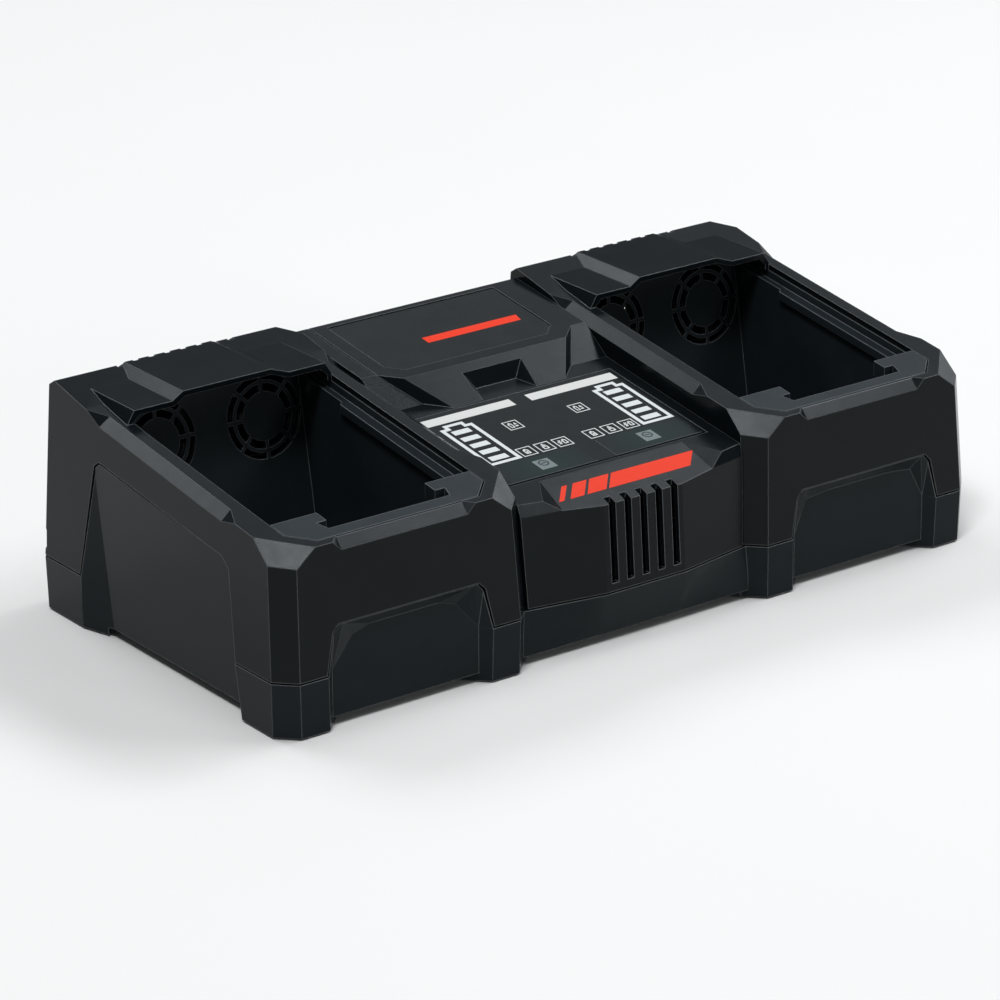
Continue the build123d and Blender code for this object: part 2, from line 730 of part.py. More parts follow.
def battery_well():
    """The well that takes a battery pack: walls, guide rails, grilles and front frame."""
    under_rim = WALL + SEAM
    pocket_half = POCKET_HALF + HOOK_UNDERCUT
    hood_wall_top = HOOD_ROOF - under_rim - FAN_HEIGHT
    with BuildPart() as liner:
        add(well_profile(BAY_HALF + WALL, WELL_FRONT - WALL, WELL_DEPTH + WALL, rear=HOOD_FRONT + 30))
        split(bisect_by=back_wall_plane(WALL), keep=Keep.TOP)
        add(well_profile(pocket_half + WALL, POCKET_FRONT - WALL, POCKET_DEPTH + WALL, rear=WELL_FRONT))
        split(bisect_by=slope_plane(RIM_FRONT - under_rim), keep=Keep.BOTTOM)
        # the back wall carries on up under the hood
        with BuildSketch(back_wall_plane(0.0)):
            with Locations((0, hood_wall_top / 2)):
                Rectangle(2 * (HOOD_RIGHT - WALL - 3 * SEAM), hood_wall_top)
        extrude(amount=-WALL)
        add(well_profile(WELL_HALF, WELL_FRONT, WELL_DEPTH), mode=Mode.SUBTRACT)
        add(well_profile(BAY_HALF, WELL_FRONT, RAIL_DROP), mode=Mode.SUBTRACT)
        add(well_profile(pocket_half, POCKET_FRONT, POCKET_DEPTH, rear=WELL_FRONT + 1), mode=Mode.SUBTRACT)
        add(guide_rails())
        # frame let into the rim
        with BuildSketch(Plane.XY.offset(RIM_FRONT - under_rim)):
            add(bay_outline(-SEAM))
            with Locations((0, back(DEPTH / 2 + WELL_FRONT))):
                Rectangle(2 * POD_WIDTH, DEPTH, mode=Mode.SUBTRACT)
            add(rim_opening(), mode=Mode.SUBTRACT)
        extrude(amount=4 * WALL)
        add(above([slope_plane(RIM_FRONT)]).intersect(front_region()), mode=Mode.SUBTRACT)
        # fan grilles and blind holes for the fan screws
        with BuildSketch(back_wall_plane(-1.0)):
            add(grille_slots())
        extrude(amount=-WALL - 2.0, mode=Mode.SUBTRACT)
        with BuildSketch(back_wall_plane(WALL)):
            peg(FAN_SCREW / 2 + AXLE_CLEARANCE, fan_screw_places())
        extrude(amount=WALL * 0.7, mode=Mode.SUBTRACT)
    return liner.part


def front_region():
    """The space over the front part of a pod, ahead of the hood."""
    with BuildPart() as region:
        with Locations((0, back(WELL_FRONT + WALL - DEPTH / 2), FORM_TOP / 2)):
            Box(2 * POD_WIDTH, DEPTH, FORM_TOP)
    return region.part


# ================================================================== fans
def fan_frame():
    """A square fan frame around the origin, its open side up at Z = 0, with the axle pin."""
    half = FAN_SCREW_PITCH / 2
    corners = [(-half, -half), (half, -half), (-half, half), (half, half)]
    with BuildPart() as frame:
        with BuildSketch():
            body = Rectangle(FAN_SIZE, FAN_SIZE)
            chamfer(body.vertices(), FAN_CORNER)
            peg(FAN_SCREW / 2 + SCREW_CLEARANCE, corners, Mode.SUBTRACT)
            Circle(FAN_BORE / 2, mode=Mode.SUBTRACT)
        extrude(amount=-FAN_THICK)
        with BuildSketch(Plane.XY.offset(-FAN_THICK)):
            RegularPolygon(FAN_HUB / 2, HUB_SIDES)
            Rectangle(FAN_BORE + HUB_GAP, FAN_STRUT, rotation=45)
            Rectangle(FAN_BORE + HUB_GAP, FAN_STRUT, rotation=-45)
        extrude(amount=FAN_PLATE)
        with BuildSketch(Plane.XY.offset(-FAN_THICK)):
            Circle(AXLE / 2)
        extrude(amount=FAN_THICK - AXLE_TOP)
    return frame.part


def fan_rotor():
    """A rotor around the origin: a hub bored for the axle pin, and pitched blades."""
    with BuildPart() as blade:
        with BuildSketch(Plane.YZ):
            Rectangle(BLADE_SHEET, ROTOR_THICK * 1.5)
        extrude(amount=ROTOR_TIP / 2)
    middle = Location((0, 0, -ROTOR_TOP - ROTOR_THICK / 2))
    blade_shape = blade.part.rotate(Axis.X, BLADE_PITCHED).moved(middle)
    with BuildPart() as rotor:
        for turn in range(ROTOR_BLADES):
            add(blade_shape.rotate(Axis.Z, turn * 360 / ROTOR_BLADES))
        with Locations(middle):
            Box(2 * ROTOR_TIP, 2 * ROTOR_TIP, ROTOR_THICK, mode=Mode.INTERSECT)
        with BuildSketch(Plane.XY.offset(-ROTOR_TOP)):
            RegularPolygon(FAN_HUB / 2 - HUB_GAP, HUB_SIDES)
        extrude(amount=-ROTOR_THICK)
        with BuildSketch(Plane.XY.offset(-ROTOR_TOP - ROTOR_THICK)):
            Circle(AXLE / 2 + AXLE_CLEARANCE)
        extrude(amount=ROTOR_THICK - ROTOR_CAP, mode=Mode.SUBTRACT)
    return rotor.part


def fan_screw():
    """A fan screw, its head behind the frame."""
    with BuildPart() as screw:
        with BuildSketch(Plane.XY.offset(-FAN_THICK)):
            peg(FAN_SCREW / 2)
        extrude(amount=FAN_THICK + WALL * 0.6)
        with BuildSketch(Plane.XY.offset(-FAN_THICK)):
            peg(FAN_SCREW)
        extrude(amount=-FAN_HEAD)
    return screw.part


# ================================================================== terminals
def terminal_block():
    """The moulded block under the hood that holds the contact blades."""
    wall = back(wall_at(TERMINAL_Z + TERMINAL_HEIGHT / 2))
    middle = TERMINAL_Z + TERMINAL_HEIGHT / 2
    with BuildPart() as block:
        with Locations((TERMINAL_X, wall, middle)):
            Box(TERMINAL_WIDTH, 2 * TERMINAL_DEPTH, TERMINAL_HEIGHT)
        split(bisect_by=back_wall_plane(0.0), keep=Keep.TOP)
        front = block.faces().sort_by(Axis.Y)[0]
        chamfer(front.edges().filter_by(Axis.X), 1.0)
        with Locations((TERMINAL_X, wall - TERMINAL_DEPTH, middle)):
            with GridLocations(BLADE_PITCH, 1, BLADE_COUNT, 1):
                Box(BLADE_THICK, 2 * BLADE_ROOT, BLADE_HEIGHT, mode=Mode.SUBTRACT)
    return block.part


def terminal_blades():
    """The row of flat contact blades standing out of the terminal block."""
    wall = back(wall_at(TERMINAL_Z + TERMINAL_HEIGHT / 2))
    rear = wall - TERMINAL_DEPTH + BLADE_ROOT
    length = BLADE_ROOT + BLADE_REACH
    with BuildPart() as blades:
        with Locations((TERMINAL_X, rear - length / 2, TERMINAL_Z + TERMINAL_HEIGHT / 2)):
            with GridLocations(BLADE_PITCH, 1, BLADE_COUNT, 1):
                Box(BLADE_THICK, length, BLADE_HEIGHT)
    return blades.part


# ================================================================== lower housing
TRAY_HALF = HALF_POD - PANEL_DEPTH - WALL
TRAY_FRONT = front_at(FRONT_PANEL_TOP, PANEL_DEPTH + WALL)
TRAY_FLOOR = GROUND_CLEARANCE + FLOOR
HOUSING_TOP = PARTING - SEAM
CONSOLE_SIDE = POD_PITCH / 2 - HALF_POD


def panel_plane(side):
    """The leaning face of the outer side panel, normal outwards."""
    lean = Vector(PANEL_LEAN * side, 0, SIDE_PANEL_TOP_REAR - PARTING)
    point = Vector(side * (HALF_POD - PANEL_DEPTH), 0, PARTING)
    return Plane(origin=point, z_dir=Vector(0, side, 0).cross(lean))


def ramp_plane(side):
    """The slanting face that leads from a side panel back out to the rear foot."""
    low = Vector(side * (HALF_POD - PANEL_DEPTH), back(RAMP_FRONT), 0)
    high = Vector(side * side_at(SIDE_PANEL_TOP_REAR), back(SIDE_PANEL_REAR + 2.0), SIDE_PANEL_TOP_REAR)
    rear = Vector(side * HALF_POD, back(FOOT_SIDE_REAR + 0.5), PARTING)
    normal = (high - low).cross(rear - low)
    if normal.X * side < 0:
        normal = -normal
    return Plane(origin=low, z_dir=normal)


def foot_outlines():
    """The four feet of a pod in plan, their inner ends slanting in under the panels."""
    inner = FOOT_IN - FOOT_REACH
    notch = HALF_POD - PANEL_DEPTH
    far = 2 * HALF_POD
    with BuildSketch() as feet:
        for side in (-1, 1):
            with BuildLine():
                Polyline(
                    (side * (FOOT_IN + WALL), back(-WALL)),
                    (side * far, back(-WALL)),
                    (side * far, back(FOOT_SIDE_FRONT)),
                    (side * notch, back(FOOT_SIDE_FRONT)),
                    (side * inner, back(FOOT_BACK)),
                    (side * inner, back(FOOT_REACH)),
                    close=True,
                )
            make_face()
            with BuildLine():
                Polyline(
                    (side * (FOOT_IN + WALL), back(DEPTH + WALL)),
                    (side * far, back(DEPTH + WALL)),
                    (side * far, back(RAMP_FRONT)),
                    (side * notch, back(RAMP_FRONT)),
                    (side * inner, back(DEPTH - FOOT_BACK)),
                    (side * inner, back(DEPTH - FOOT_REACH)),
                    close=True,
                )
            make_face()
    return feet.sketch


def front_recess():
    """The space in front of the front panel: flat behind, its ends slanting out to the feet."""
    narrowing = (FOOT_IN - FRONT_PANEL_HALF - 0.6 * PANEL_ROUND) / (FRONT_PANEL_TOP - PARTING)
    with BuildPart() as recess:
        for low, high in ((0.0, PARTING), (PARTING, FRONT_PANEL_TOP + WALL)):
            for z in (low, high):
                skin = front_at(max(z, PARTING))
                half = FOOT_IN - max(z - PARTING, 0.0) * narrowing
                with BuildSketch(Plane.XY.offset(z)):
                    with BuildLine():
                        Polyline(
                            (-half - WALL, back(skin - WALL)),
                            (-half + PANEL_DEPTH, back(skin + PANEL_DEPTH)),
                            (half - PANEL_DEPTH, back(skin + PANEL_DEPTH)),
                            (half + WALL, back(skin - WALL)),
                            close=True,
                        )
                    make_face()
            loft(ruled=True)
    return recess.part


def pod_tray(outer_side):
    """One pod's part of the lower housing, without its hollow."""
    foot = HALF_POD - PARTING * tan(radians(FOOT_DRAFT))
    with BuildPart() as recess:
        with BuildSketch(Plane.YZ):
            with BuildLine():
                Polyline(
                    (back(FOOT_SIDE_FRONT - 4.0), -1),
                    (back(FOOT_SIDE_FRONT), PARTING),
                    (back(FOOT_SIDE_REAR), PARTING),
                    (back(FOOT_SIDE_REAR + 0.5), -1),
                    close=True,
                )
            make_face()
        extrude(amount=outer_side * POD_WIDTH)
        split(bisect_by=panel_plane(outer_side), keep=Keep.TOP)
        split(bisect_by=ramp_plane(outer_side), keep=Keep.TOP)
    with BuildPart() as tray:
        with BuildSketch(Plane.XY.offset(PAD_PROUD)):
            cut_rectangle(foot, HALF_POD - foot, DEPTH - (HALF_POD - foot), CORNER)
        with BuildSketch(Plane.XY.offset(HOUSING_TOP)):
            cut_rectangle(HALF_POD, 0, DEPTH, CORNER)
        loft()
        add(recess.part, mode=Mode.SUBTRACT)
        add(front_recess(), mode=Mode.SUBTRACT)
        # clearance between the feet
        with BuildSketch(Plane.XY):
            Rectangle(2 * POD_WIDTH, 2 * DEPTH)
            add(foot_outlines(), mode=Mode.SUBTRACT)
        extrude(amount=GROUND_CLEARANCE, mode=Mode.SUBTRACT)
    return tray.part


def side_flap(side):
    """The part of the lower housing that rises into the cover's side opening."""
    with BuildPart() as recess:
        with BuildSketch(Plane.YZ):
            add(side_panel_outline(0.0))
        extrude(amount=side * POD_WIDTH)
        split(bisect_by=panel_plane(side), keep=Keep.TOP)
        split(bisect_by=ramp_plane(side), keep=Keep.TOP)
    with BuildPart() as backing:
        with BuildSketch(Plane.YZ):
            add(side_panel_outline(FLAP_LAP))
        extrude(amount=side * POD_WIDTH)
        add(pod_skin(WALL + SEAM), mode=Mode.INTERSECT)
    with BuildPart() as flap:
        with BuildSketch(Plane.YZ):
            add(side_panel_outline(0.0))
        extrude(amount=side * POD_WIDTH)
        add(pod_skin(0.0), mode=Mode.INTERSECT)
        add(backing.part)
        add(recess.part, mode=Mode.SUBTRACT)
        Box(2 * TRAY_HALF, 2 * DEPTH, 4 * FORM_TOP, mode=Mode.SUBTRACT)
    return flap.part


def front_flap():
    """The part of the lower housing that rises into the cover's front opening."""
    with BuildPart() as ring:
        with BuildSketch(Plane.XZ.offset(-back(TRAY_FRONT))):
            add(front_panel_outline(FLAP_LAP))
            add(front_panel_outline(0.0), mode=Mode.SUBTRACT)
        extrude(amount=2 * TRAY_FRONT)
        add(pod_skin(WALL + SEAM), mode=Mode.INTERSECT)
    with BuildPart() as flap:
        with BuildSketch(Plane.XZ.offset(-back(TRAY_FRONT))):
            add(front_panel_outline(0.0))
        extrude(amount=2 * TRAY_FRONT)
        add(pod_skin(0.0), mode=Mode.INTERSECT)
        add(front_recess(), mode=Mode.SUBTRACT)
        add(ring.part)
    return flap.part


def console_plan(half, nose, side, rear):
    """The plan of the console: three facets at the front, square at the back."""
    with BuildSketch() as plan:
        with BuildLine():
            Polyline(
                (-half, back(side)),
                (-NOSE_HALF, back(nose)),
                (NOSE_HALF, back(nose)),
                (half, back(side)),
                (half, back(rear)),
                (-half, back(rear)),
                close=True,
            )
        make_face()
    return plan.sketch


def housing_screw_places():
    """The twelve screws that hold the covers down, four to each."""
    places = []
    for middle in (-POD_PITCH / 2, POD_PITCH / 2):
        for x in (-BOSS_X, BOSS_X):
            places.append((middle + x, back(BOSS_FRONT)))
            places.append((middle + x, back(BOSS_REAR)))
    for x in (-CONSOLE_BOSS_X, CONSOLE_BOSS_X):
        places.append((x, back(CONSOLE_BOSS_FRONT)))
        places.append((x, back(CONSOLE_BOSS_REAR)))
    return places


def pad_places():
    """Middles of the eight rubber pads."""
    places = []
    for middle in (-POD_PITCH / 2, POD_PITCH / 2):
        for x in (-PAD_X, PAD_X):
            places.append((middle + x, back(PAD_FRONT)))
            places.append((middle + x, back(PAD_REAR)))
    return places


def board_screw_places():
    """Corners where the power board is screwed down."""
    length = BOARD_REAR - BOARD_FRONT - 12
    middle = back((BOARD_FRONT + BOARD_REAR) / 2)
    return [(x, middle + y) for x in (-BOARD_SCREW_X, BOARD_SCREW_X) for y in (-length / 2, length / 2)]


def housing():
    """The lower housing: two pod trays and the console's base in one moulding."""
    with BuildPart() as base:
        for side in (-1, 1):
            with Locations((side * POD_PITCH / 2, 0, 0)):
                add(pod_tray(side))
                add(side_flap(side))
                add(front_flap())
        # the console's base, its front leaning back towards the ground
        with BuildSketch(Plane.XY.offset(GROUND_CLEARANCE)):
            add(console_plan(CONSOLE_SIDE + WALL, BASE_BACK, BASE_BACK + SEAM, DEPTH - SEAM))
        with BuildSketch(Plane.XY.offset(HOUSING_TOP)):
            add(console_plan(CONSOLE_SIDE + WALL, 0, NOSE_BACK + SEAM, DEPTH))
        loft(ruled=True)
        # the front feet beside the console run in under it
        with BuildSketch(Plane.XY.offset(PAD_PROUD)):
            for side in (-1, 1):
                with BuildLine():
                    Polyline(
                        (side * (CONSOLE_SIDE + CORNER), back(CORNER)),
                        (side * CONSOLE_SIDE, back(CORNER)),
                        (side * (CONSOLE_SIDE - FOOT_LEDGE), back(CORNER + FOOT_LEDGE)),
                        (side * (CONSOLE_SIDE - FOOT_LEDGE), back(FOOT_SIDE_FRONT)),
                        (side * (CONSOLE_SIDE + CORNER), back(FOOT_SIDE_FRONT)),
                        close=True,
                    )
                make_face()
        extrude(amount=TRAY_FLOOR - PAD_PROUD)
        # hollow
        with BuildSketch(Plane.XY.offset(TRAY_FLOOR)):
            for side in (-1, 1):
                with Locations((side * POD_PITCH / 2, back((TRAY_FRONT + DEPTH - WALL) / 2))):
                    pocket = Rectangle(2 * TRAY_HALF, DEPTH - WALL - TRAY_FRONT)
                chamfer(pocket.vertices(), CORNER - WALL)
            console_front = NOSE_BACK + WALL + 1.0
            with Locations((0, back((console_front + DEPTH - WALL) / 2))):
                Rectangle(2 * (POD_PITCH / 2 - TRAY_HALF + CORNER), DEPTH - WALL - console_front)
        extrude(amount=PARTING, mode=Mode.SUBTRACT)
    with BuildPart() as lower:
        add(base.part)
        with BuildSketch(Plane.XY.offset(TRAY_FLOOR - 1)):
            peg(BOSS_OUTER / 2 + POST_WALL, housing_screw_places())
        extrude(amount=PARTING - TRAY_FLOOR + 1)
        with BuildSketch(Plane.XY.offset(TRAY_FLOOR - 1)):
            peg(BOARD_POST / 2, board_screw_places())
        extrude(amount=BOARD_Z - TRAY_FLOOR + 1)
        with BuildSketch(Plane.XY):
            peg(SCREW / 2 + SCREW_CLEARANCE, housing_screw_places())
        extrude(amount=2 * PARTING, mode=Mode.SUBTRACT)
        with BuildSketch(Plane.XY):
            peg(SCREW_HEAD / 2 + SCREW_CLEARANCE, housing_screw_places())
        extrude(amount=SCREW_SINK, mode=Mode.SUBTRACT)
        with BuildSketch(Plane.XY):
            peg(PAD / 2 + PAD_FIT, pad_places())
        extrude(amount=PAD_THICK, mode=Mode.SUBTRACT)
        with BuildSketch(Plane.XY.offset(BOARD_Z)):
            peg(FAN_SCREW / 2 + AXLE_CLEARANCE, board_screw_places())
        extrude(amount=-BOARD_SCREW_LENGTH, mode=Mode.SUBTRACT)
    return lower.part


# ================================================================== console
def plate_z(y):
    """Height of the console's plate at a distance behind the front face."""
    return PLATE_BASE + RISE * y


def display_z(y):
    """Height of the display at a distance behind the front face."""
    return DISPLAY_BASE + RISE * y


def at(x, y, z):
    """A corner given by its distance behind the front face."""
    return (x, back(y), z)


def console_block(inset):
    """The console's body; inset gives the inner face of its walls."""
    half = CONSOLE_SIDE - CONSOLE_GAP - inset
    draft = (FORM_TOP - PARTING) * tan(radians(CONSOLE_FRONT_DRAFT))
    top_half = POD_PITCH / 2 - side_at(FORM_TOP) - CONSOLE_GAP - inset
    rear_top = DEPTH - inset - (FORM_TOP - PARTING) * tan(radians(REAR_DRAFT))
    display = slope_plane(DISPLAY_BASE).offset(-inset)
    plate = slope_plane(PLATE_BASE).offset(-inset)
    slant = through(
        at(-1, SLANT_TOP, display_z(SLANT_TOP)),
        at(1, SLANT_TOP, display_z(SLANT_TOP)),
        at(0, SLANT_FRONT_BACK, SLANT_FRONT),
        inset,
    )
    # where the slant meets the front face at the inner side of a margin
    nose_slope = NOSE_BACK / (CONSOLE_SIDE - NOSE_HALF)
    margin_low_y = nose_slope * (MARGIN_INNER - NOSE_HALF) + (SLANT_FRONT - PARTING) * tan(radians(CONSOLE_FRONT_DRAFT))
    slant_rise = (display_z(SLANT_TOP) - SLANT_FRONT) / (SLANT_TOP - SLANT_FRONT_BACK)
    margin_low = at(MARGIN_INNER, margin_low_y, SLANT_FRONT + slant_rise * (margin_low_y - SLANT_FRONT_BACK))
    side_facet = (
        at(MARGIN_INNER, MARGIN_REAR, display_z(MARGIN_REAR)),
        at(MARGIN_OUTER, MARGIN_FRONT, display_z(MARGIN_FRONT)),
        margin_low,
    )
    margin_front = (
        at(MARGIN_OUTER, MARGIN_FRONT, display_z(MARGIN_FRONT)),
        margin_low,
        at(CONSOLE_SIDE, NOSE_BACK + (MARGIN_CORNER - PARTING) * tan(radians(CONSOLE_FRONT_DRAFT)), MARGIN_CORNER),
    )
    wedge = (
        at(-WEDGE_TOP_HALF, WEDGE_TOP, plate_z(WEDGE_TOP)),
        at(WEDGE_TOP_HALF, WEDGE_TOP, plate_z(WEDGE_TOP)),
        at(WEDGE_BOTTOM_HALF, WEDGE_BOTTOM, display_z(WEDGE_BOTTOM)),
    )
    wedge_side = (
        at(WEDGE_TOP_HALF, WEDGE_TOP, plate_z(WEDGE_TOP)),
        at(WEDGE_BOTTOM_HALF, WEDGE_BOTTOM, display_z(WEDGE_BOTTOM)),
        at(CHEEK_HALF, CHEEK_TOP, plate_z(CHEEK_TOP)),
    )
    cheek = (
        at(-1, CHEEK_TOP, plate_z(CHEEK_TOP)),
        at(1, CHEEK_TOP, plate_z(CHEEK_TOP)),
        at(0, CHEEK_BOTTOM, display_z(CHEEK_BOTTOM)),
    )
    rear_edge = plate_z(CONSOLE_REAR_EDGE)
    rear_bevel = (
        at(-1, CONSOLE_REAR_EDGE, rear_edge),
        at(1, CONSOLE_REAR_EDGE, rear_edge),
        at(0, CONSOLE_REAR_EDGE + REAR_EDGE_RUN, rear_edge - REAR_EDGE_DROP),
    )
    with BuildPart() as body:
        with BuildSketch(Plane.XY.offset(PARTING)):
            add(console_plan(half, inset, NOSE_BACK + inset, DEPTH - inset))
        with BuildSketch(Plane.XY.offset(FORM_TOP)):
            add(console_plan(top_half, inset + draft, NOSE_BACK + inset + draft, rear_top))
        loft(ruled=True)
    with BuildPart() as slanted:
        add(body.part)
        split(bisect_by=display, keep=Keep.BOTTOM)
        split(bisect_by=slant, keep=Keep.BOTTOM)
        split(bisect_by=Plane.YZ.offset(MARGIN_INNER), keep=Keep.BOTTOM)
        split(bisect_by=Plane.YZ.offset(-MARGIN_INNER), keep=Keep.TOP)
    margins = []
    for flip in (lambda corner: corner, mirrored):
        with BuildPart() as margin:
            add(body.part)
            split(bisect_by=display, keep=Keep.BOTTOM)
            split(bisect_by=through(*map(flip, side_facet), inset), keep=Keep.BOTTOM)
            split(bisect_by=through(*map(flip, margin_front), inset), keep=Keep.BOTTOM)
        margins.append(margin.part)
    with BuildPart() as raised:
        add(body.part)
        split(bisect_by=through(*wedge, inset), keep=Keep.BOTTOM)
        split(bisect_by=through(*wedge_side, inset), keep=Keep.BOTTOM)
        split(bisect_by=through(*map(mirrored, wedge_side), inset), keep=Keep.BOTTOM)
    with BuildPart() as cheeks:
        add(body.part)
        split(bisect_by=through(*cheek, inset), keep=Keep.BOTTOM)
    with BuildPart() as tall:
        add(raised.part)
        add(cheeks.part)
        split(bisect_by=plate, keep=Keep.BOTTOM)
        split(bisect_by=through(*rear_bevel, inset), keep=Keep.BOTTOM)
    with BuildPart() as block:
        add(slanted.part)
        for margin in margins:
            add(margin)
        add(tall.part)
    return block.part


def notch_block(grow):
    """The keyhole-like notch in the middle of the wedge, grown by the wall for the inside."""
    inner_z = display_z(NOTCH_BACK)
    top_z = plate_z(NOTCH_TOP) - 2.1
    low_z = display_z(WEDGE_BOTTOM)
    rear = (
        at(-NOTCH_INNER_HALF, NOTCH_BACK, inner_z),
        at(NOTCH_INNER_HALF, NOTCH_BACK, inner_z),
        at(NOTCH_TOP_HALF, NOTCH_TOP, top_z),
    )
    side = (
        at(NOTCH_BOTTOM_HALF, WEDGE_BOTTOM, low_z),
        at(NOTCH_INNER_HALF, NOTCH_BACK, inner_z),
        at(NOTCH_TOP_HALF, NOTCH_TOP, top_z),
    )
    return above(
        [
            slope_plane(DISPLAY_BASE).offset(-grow),
            through(*rear, grow),
            through(*side, grow),
            through(*map(mirrored, side), grow),
        ]
    )


def name_outline(grow):
    """The panel at the back of the plate, its front corners cut."""
    with BuildSketch() as outline:
        with BuildLine():
            Polyline(
                (-NAME_HALF - grow, along(NAME_REAR + grow)),
                (-NAME_HALF - grow, along(NAME_FRONT + NAME_CORNER)),
                (-NAME_HALF + NAME_CORNER, along(NAME_FRONT - grow)),
                (NAME_HALF - NAME_CORNER, along(NAME_FRONT - grow)),
                (NAME_HALF + grow, along(NAME_FRONT + NAME_CORNER)),
                (NAME_HALF + grow, along(NAME_REAR + grow)),
                close=True,
            )
        make_face()
    return outline.sketch


def display_outline(grow):
    """The display's rectangle in its own plane."""
    with BuildSketch() as outline:
        with Locations((0, along((DISPLAY_FRONT + DISPLAY_REAR) / 2))):
            Rectangle(2 * (DISPLAY_HALF + grow), along(DISPLAY_REAR - DISPLAY_FRONT) + 2 * grow)
    return outline.sketch


def light_outline(side, grow):
    """One of the two bars at the display's back edge."""
    with BuildSketch() as outline:
        with Locations((side * (LIGHT_IN + LIGHT_OUT) / 2, along((LIGHT_FRONT + LIGHT_REAR) / 2))):
            Rectangle(LIGHT_OUT - LIGHT_IN + 2 * grow, along(LIGHT_REAR - LIGHT_FRONT) + 2 * grow)
    return outline.sketch


def display_post_places():
    """Where the display board hangs from the cover, in the display's plane."""
    x = DISPLAY_BOARD_HALF - 5
    return [(s * x, along(y)) for s in (-1, 1) for y in (DISPLAY_BOARD_FRONT + 5, LIGHT_FRONT - 7)]


def console_cover_shape():
    """The upper moulding of the console."""
    inlet_rear = back(rear_at(INLET_Z))
    with BuildPart() as columns:
        for side in (-1, 1):
            for y in (CONSOLE_BOSS_FRONT, CONSOLE_BOSS_REAR):
                add(screw_column(side * CONSOLE_BOSS_X, y, None, side * (CONSOLE_SIDE + WALL)))
        with BuildSketch(slope_plane(DISPLAY_BASE).offset(-DISPLAY_BOARD_DROP)):
            peg(BOARD_POST / 2, display_post_places())
        extrude(amount=DISPLAY_BOARD_DROP)
        add(console_block(WALL / 2), mode=Mode.INTERSECT)
    with BuildPart() as cavity:
        add(console_block(WALL))
        add(notch_block(WALL), mode=Mode.SUBTRACT)
    with BuildPart() as cover:
        add(console_block(0.0))
        add(cavity.part, mode=Mode.SUBTRACT)
        add(notch_block(0.0), mode=Mode.SUBTRACT)
        add(columns.part)
        with BuildSketch(slope_plane(PLATE_BASE)):
            add(name_outline(DISPLAY_FIT))
        extrude(amount=-SHEET - NAME_INSET, mode=Mode.SUBTRACT)
        with BuildSketch(slope_plane(DISPLAY_BASE)):
            add(display_outline(DISPLAY_FIT))
            with Locations((0, along(DISPLAY_FRONT) - DISPLAY_GROOVE / 2)):
                Rectangle(2 * (DISPLAY_HALF + DISPLAY_FIT), DISPLAY_GROOVE)
        extrude(amount=-SHEET, mode=Mode.SUBTRACT)
        with BuildSketch(slope_plane(DISPLAY_BASE)):
            add(light_outline(-1, AXLE_CLEARANCE))
            add(light_outline(1, AXLE_CLEARANCE))
        extrude(amount=-2 * WALL, mode=Mode.SUBTRACT)
        with BuildSketch(slope_plane(DISPLAY_BASE).offset(-DISPLAY_BOARD_DROP)):
            peg(FAN_SCREW / 2 + AXLE_CLEARANCE, display_post_places())
        extrude(amount=DISPLAY_BOARD_DROP - WALL, mode=Mode.SUBTRACT)
        # groove beside the plate
        with BuildSketch(slope_plane(PLATE_BASE)):
            with Locations((-CHEEK_HALF, along((CHEEK_TOP + DEPTH) / 2))):
                Rectangle(GROOVE, along(DEPTH - CHEEK_TOP))
        extrude(amount=-GROOVE, mode=Mode.SUBTRACT)
        # cooling slots in the nose, running on over the slant
        with BuildSketch(Plane.XY.offset(VENT_BOTTOM)):
            with Locations((0, back(VENT_BACK / 2 - WALL / 2))):
                with GridLocations(VENT_PITCH, 1, VENT_COUNT, 1):
                    Rectangle(VENT_WIDTH, VENT_BACK + WALL)
        extrude(amount=FORM_TOP, mode=Mode.SUBTRACT)
        # opening for the power inlet, and the band across the back
        with Locations((0, inlet_rear, INLET_Z)):
            Box(INLET_WIDTH + 2 * SEAM, 4 * WALL, INLET_HEIGHT + 2 * SEAM, mode=Mode.SUBTRACT)
        add(rear_groove(console_block(REAR_GROOVE_DEPTH), POD_WIDTH), mode=Mode.SUBTRACT)
    return cover.part


def inlet_shape():
    """The socket for the mains lead, its face flush with the back of the console."""
    face = back(rear_at(INLET_Z + INLET_HEIGHT / 2))
    lobes = [(-PIN_PITCH / 2, INLET_Z), (PIN_PITCH / 2, INLET_Z)]
    with BuildPart() as inlet:
        with Locations((0, face - INLET_DEPTH / 2, INLET_Z)):
            Box(INLET_WIDTH, INLET_DEPTH, INLET_HEIGHT)
        # flange behind the console's wall
        with Locations((0, face - 2 * WALL + SEAM, INLET_Z)):
            Box(INLET_WIDTH + 2 * INLET_FLANGE, WALL, INLET_HEIGHT + 2 * INLET_FLANGE)
        with BuildSketch(Plane.XZ.offset(-face)):
            with Locations(*lobes):
                Circle(INLET_LOBE)
            with Locations((0, INLET_Z)):
                Rectangle(PIN_PITCH, INLET_FLAT)
        extrude(amount=INLET_HOLLOW, mode=Mode.SUBTRACT)
        with BuildSketch(Plane.XZ.offset(-face + INLET_HOLLOW - 1)):
            peg(PIN / 2 + AXLE_CLEARANCE, lobes)
        extrude(amount=INLET_DEPTH - INLET_HOLLOW - 1, mode=Mode.SUBTRACT)
    with BuildPart() as pins:
        with BuildSketch(Plane.XZ.offset(-face + PIN_BACK)):
            peg(PIN / 2, lobes)
        extrude(amount=PIN_LENGTH)
    return inlet.part, pins.part


# ================================================================== all the pieces
pieces = {}
pods = {"left": -1, "right": 1}
well_liner = battery_well()
frame_shape, rotor_shape, screw_shape = fan_frame(), fan_rotor(), fan_screw()
block_shape, blades_shape = terminal_block(), terminal_blades()
wall = back_wall_plane(WALL).location

with BuildPart() as lower_housing:
    add(housing())
pieces["lower_housing"] = lower_housing

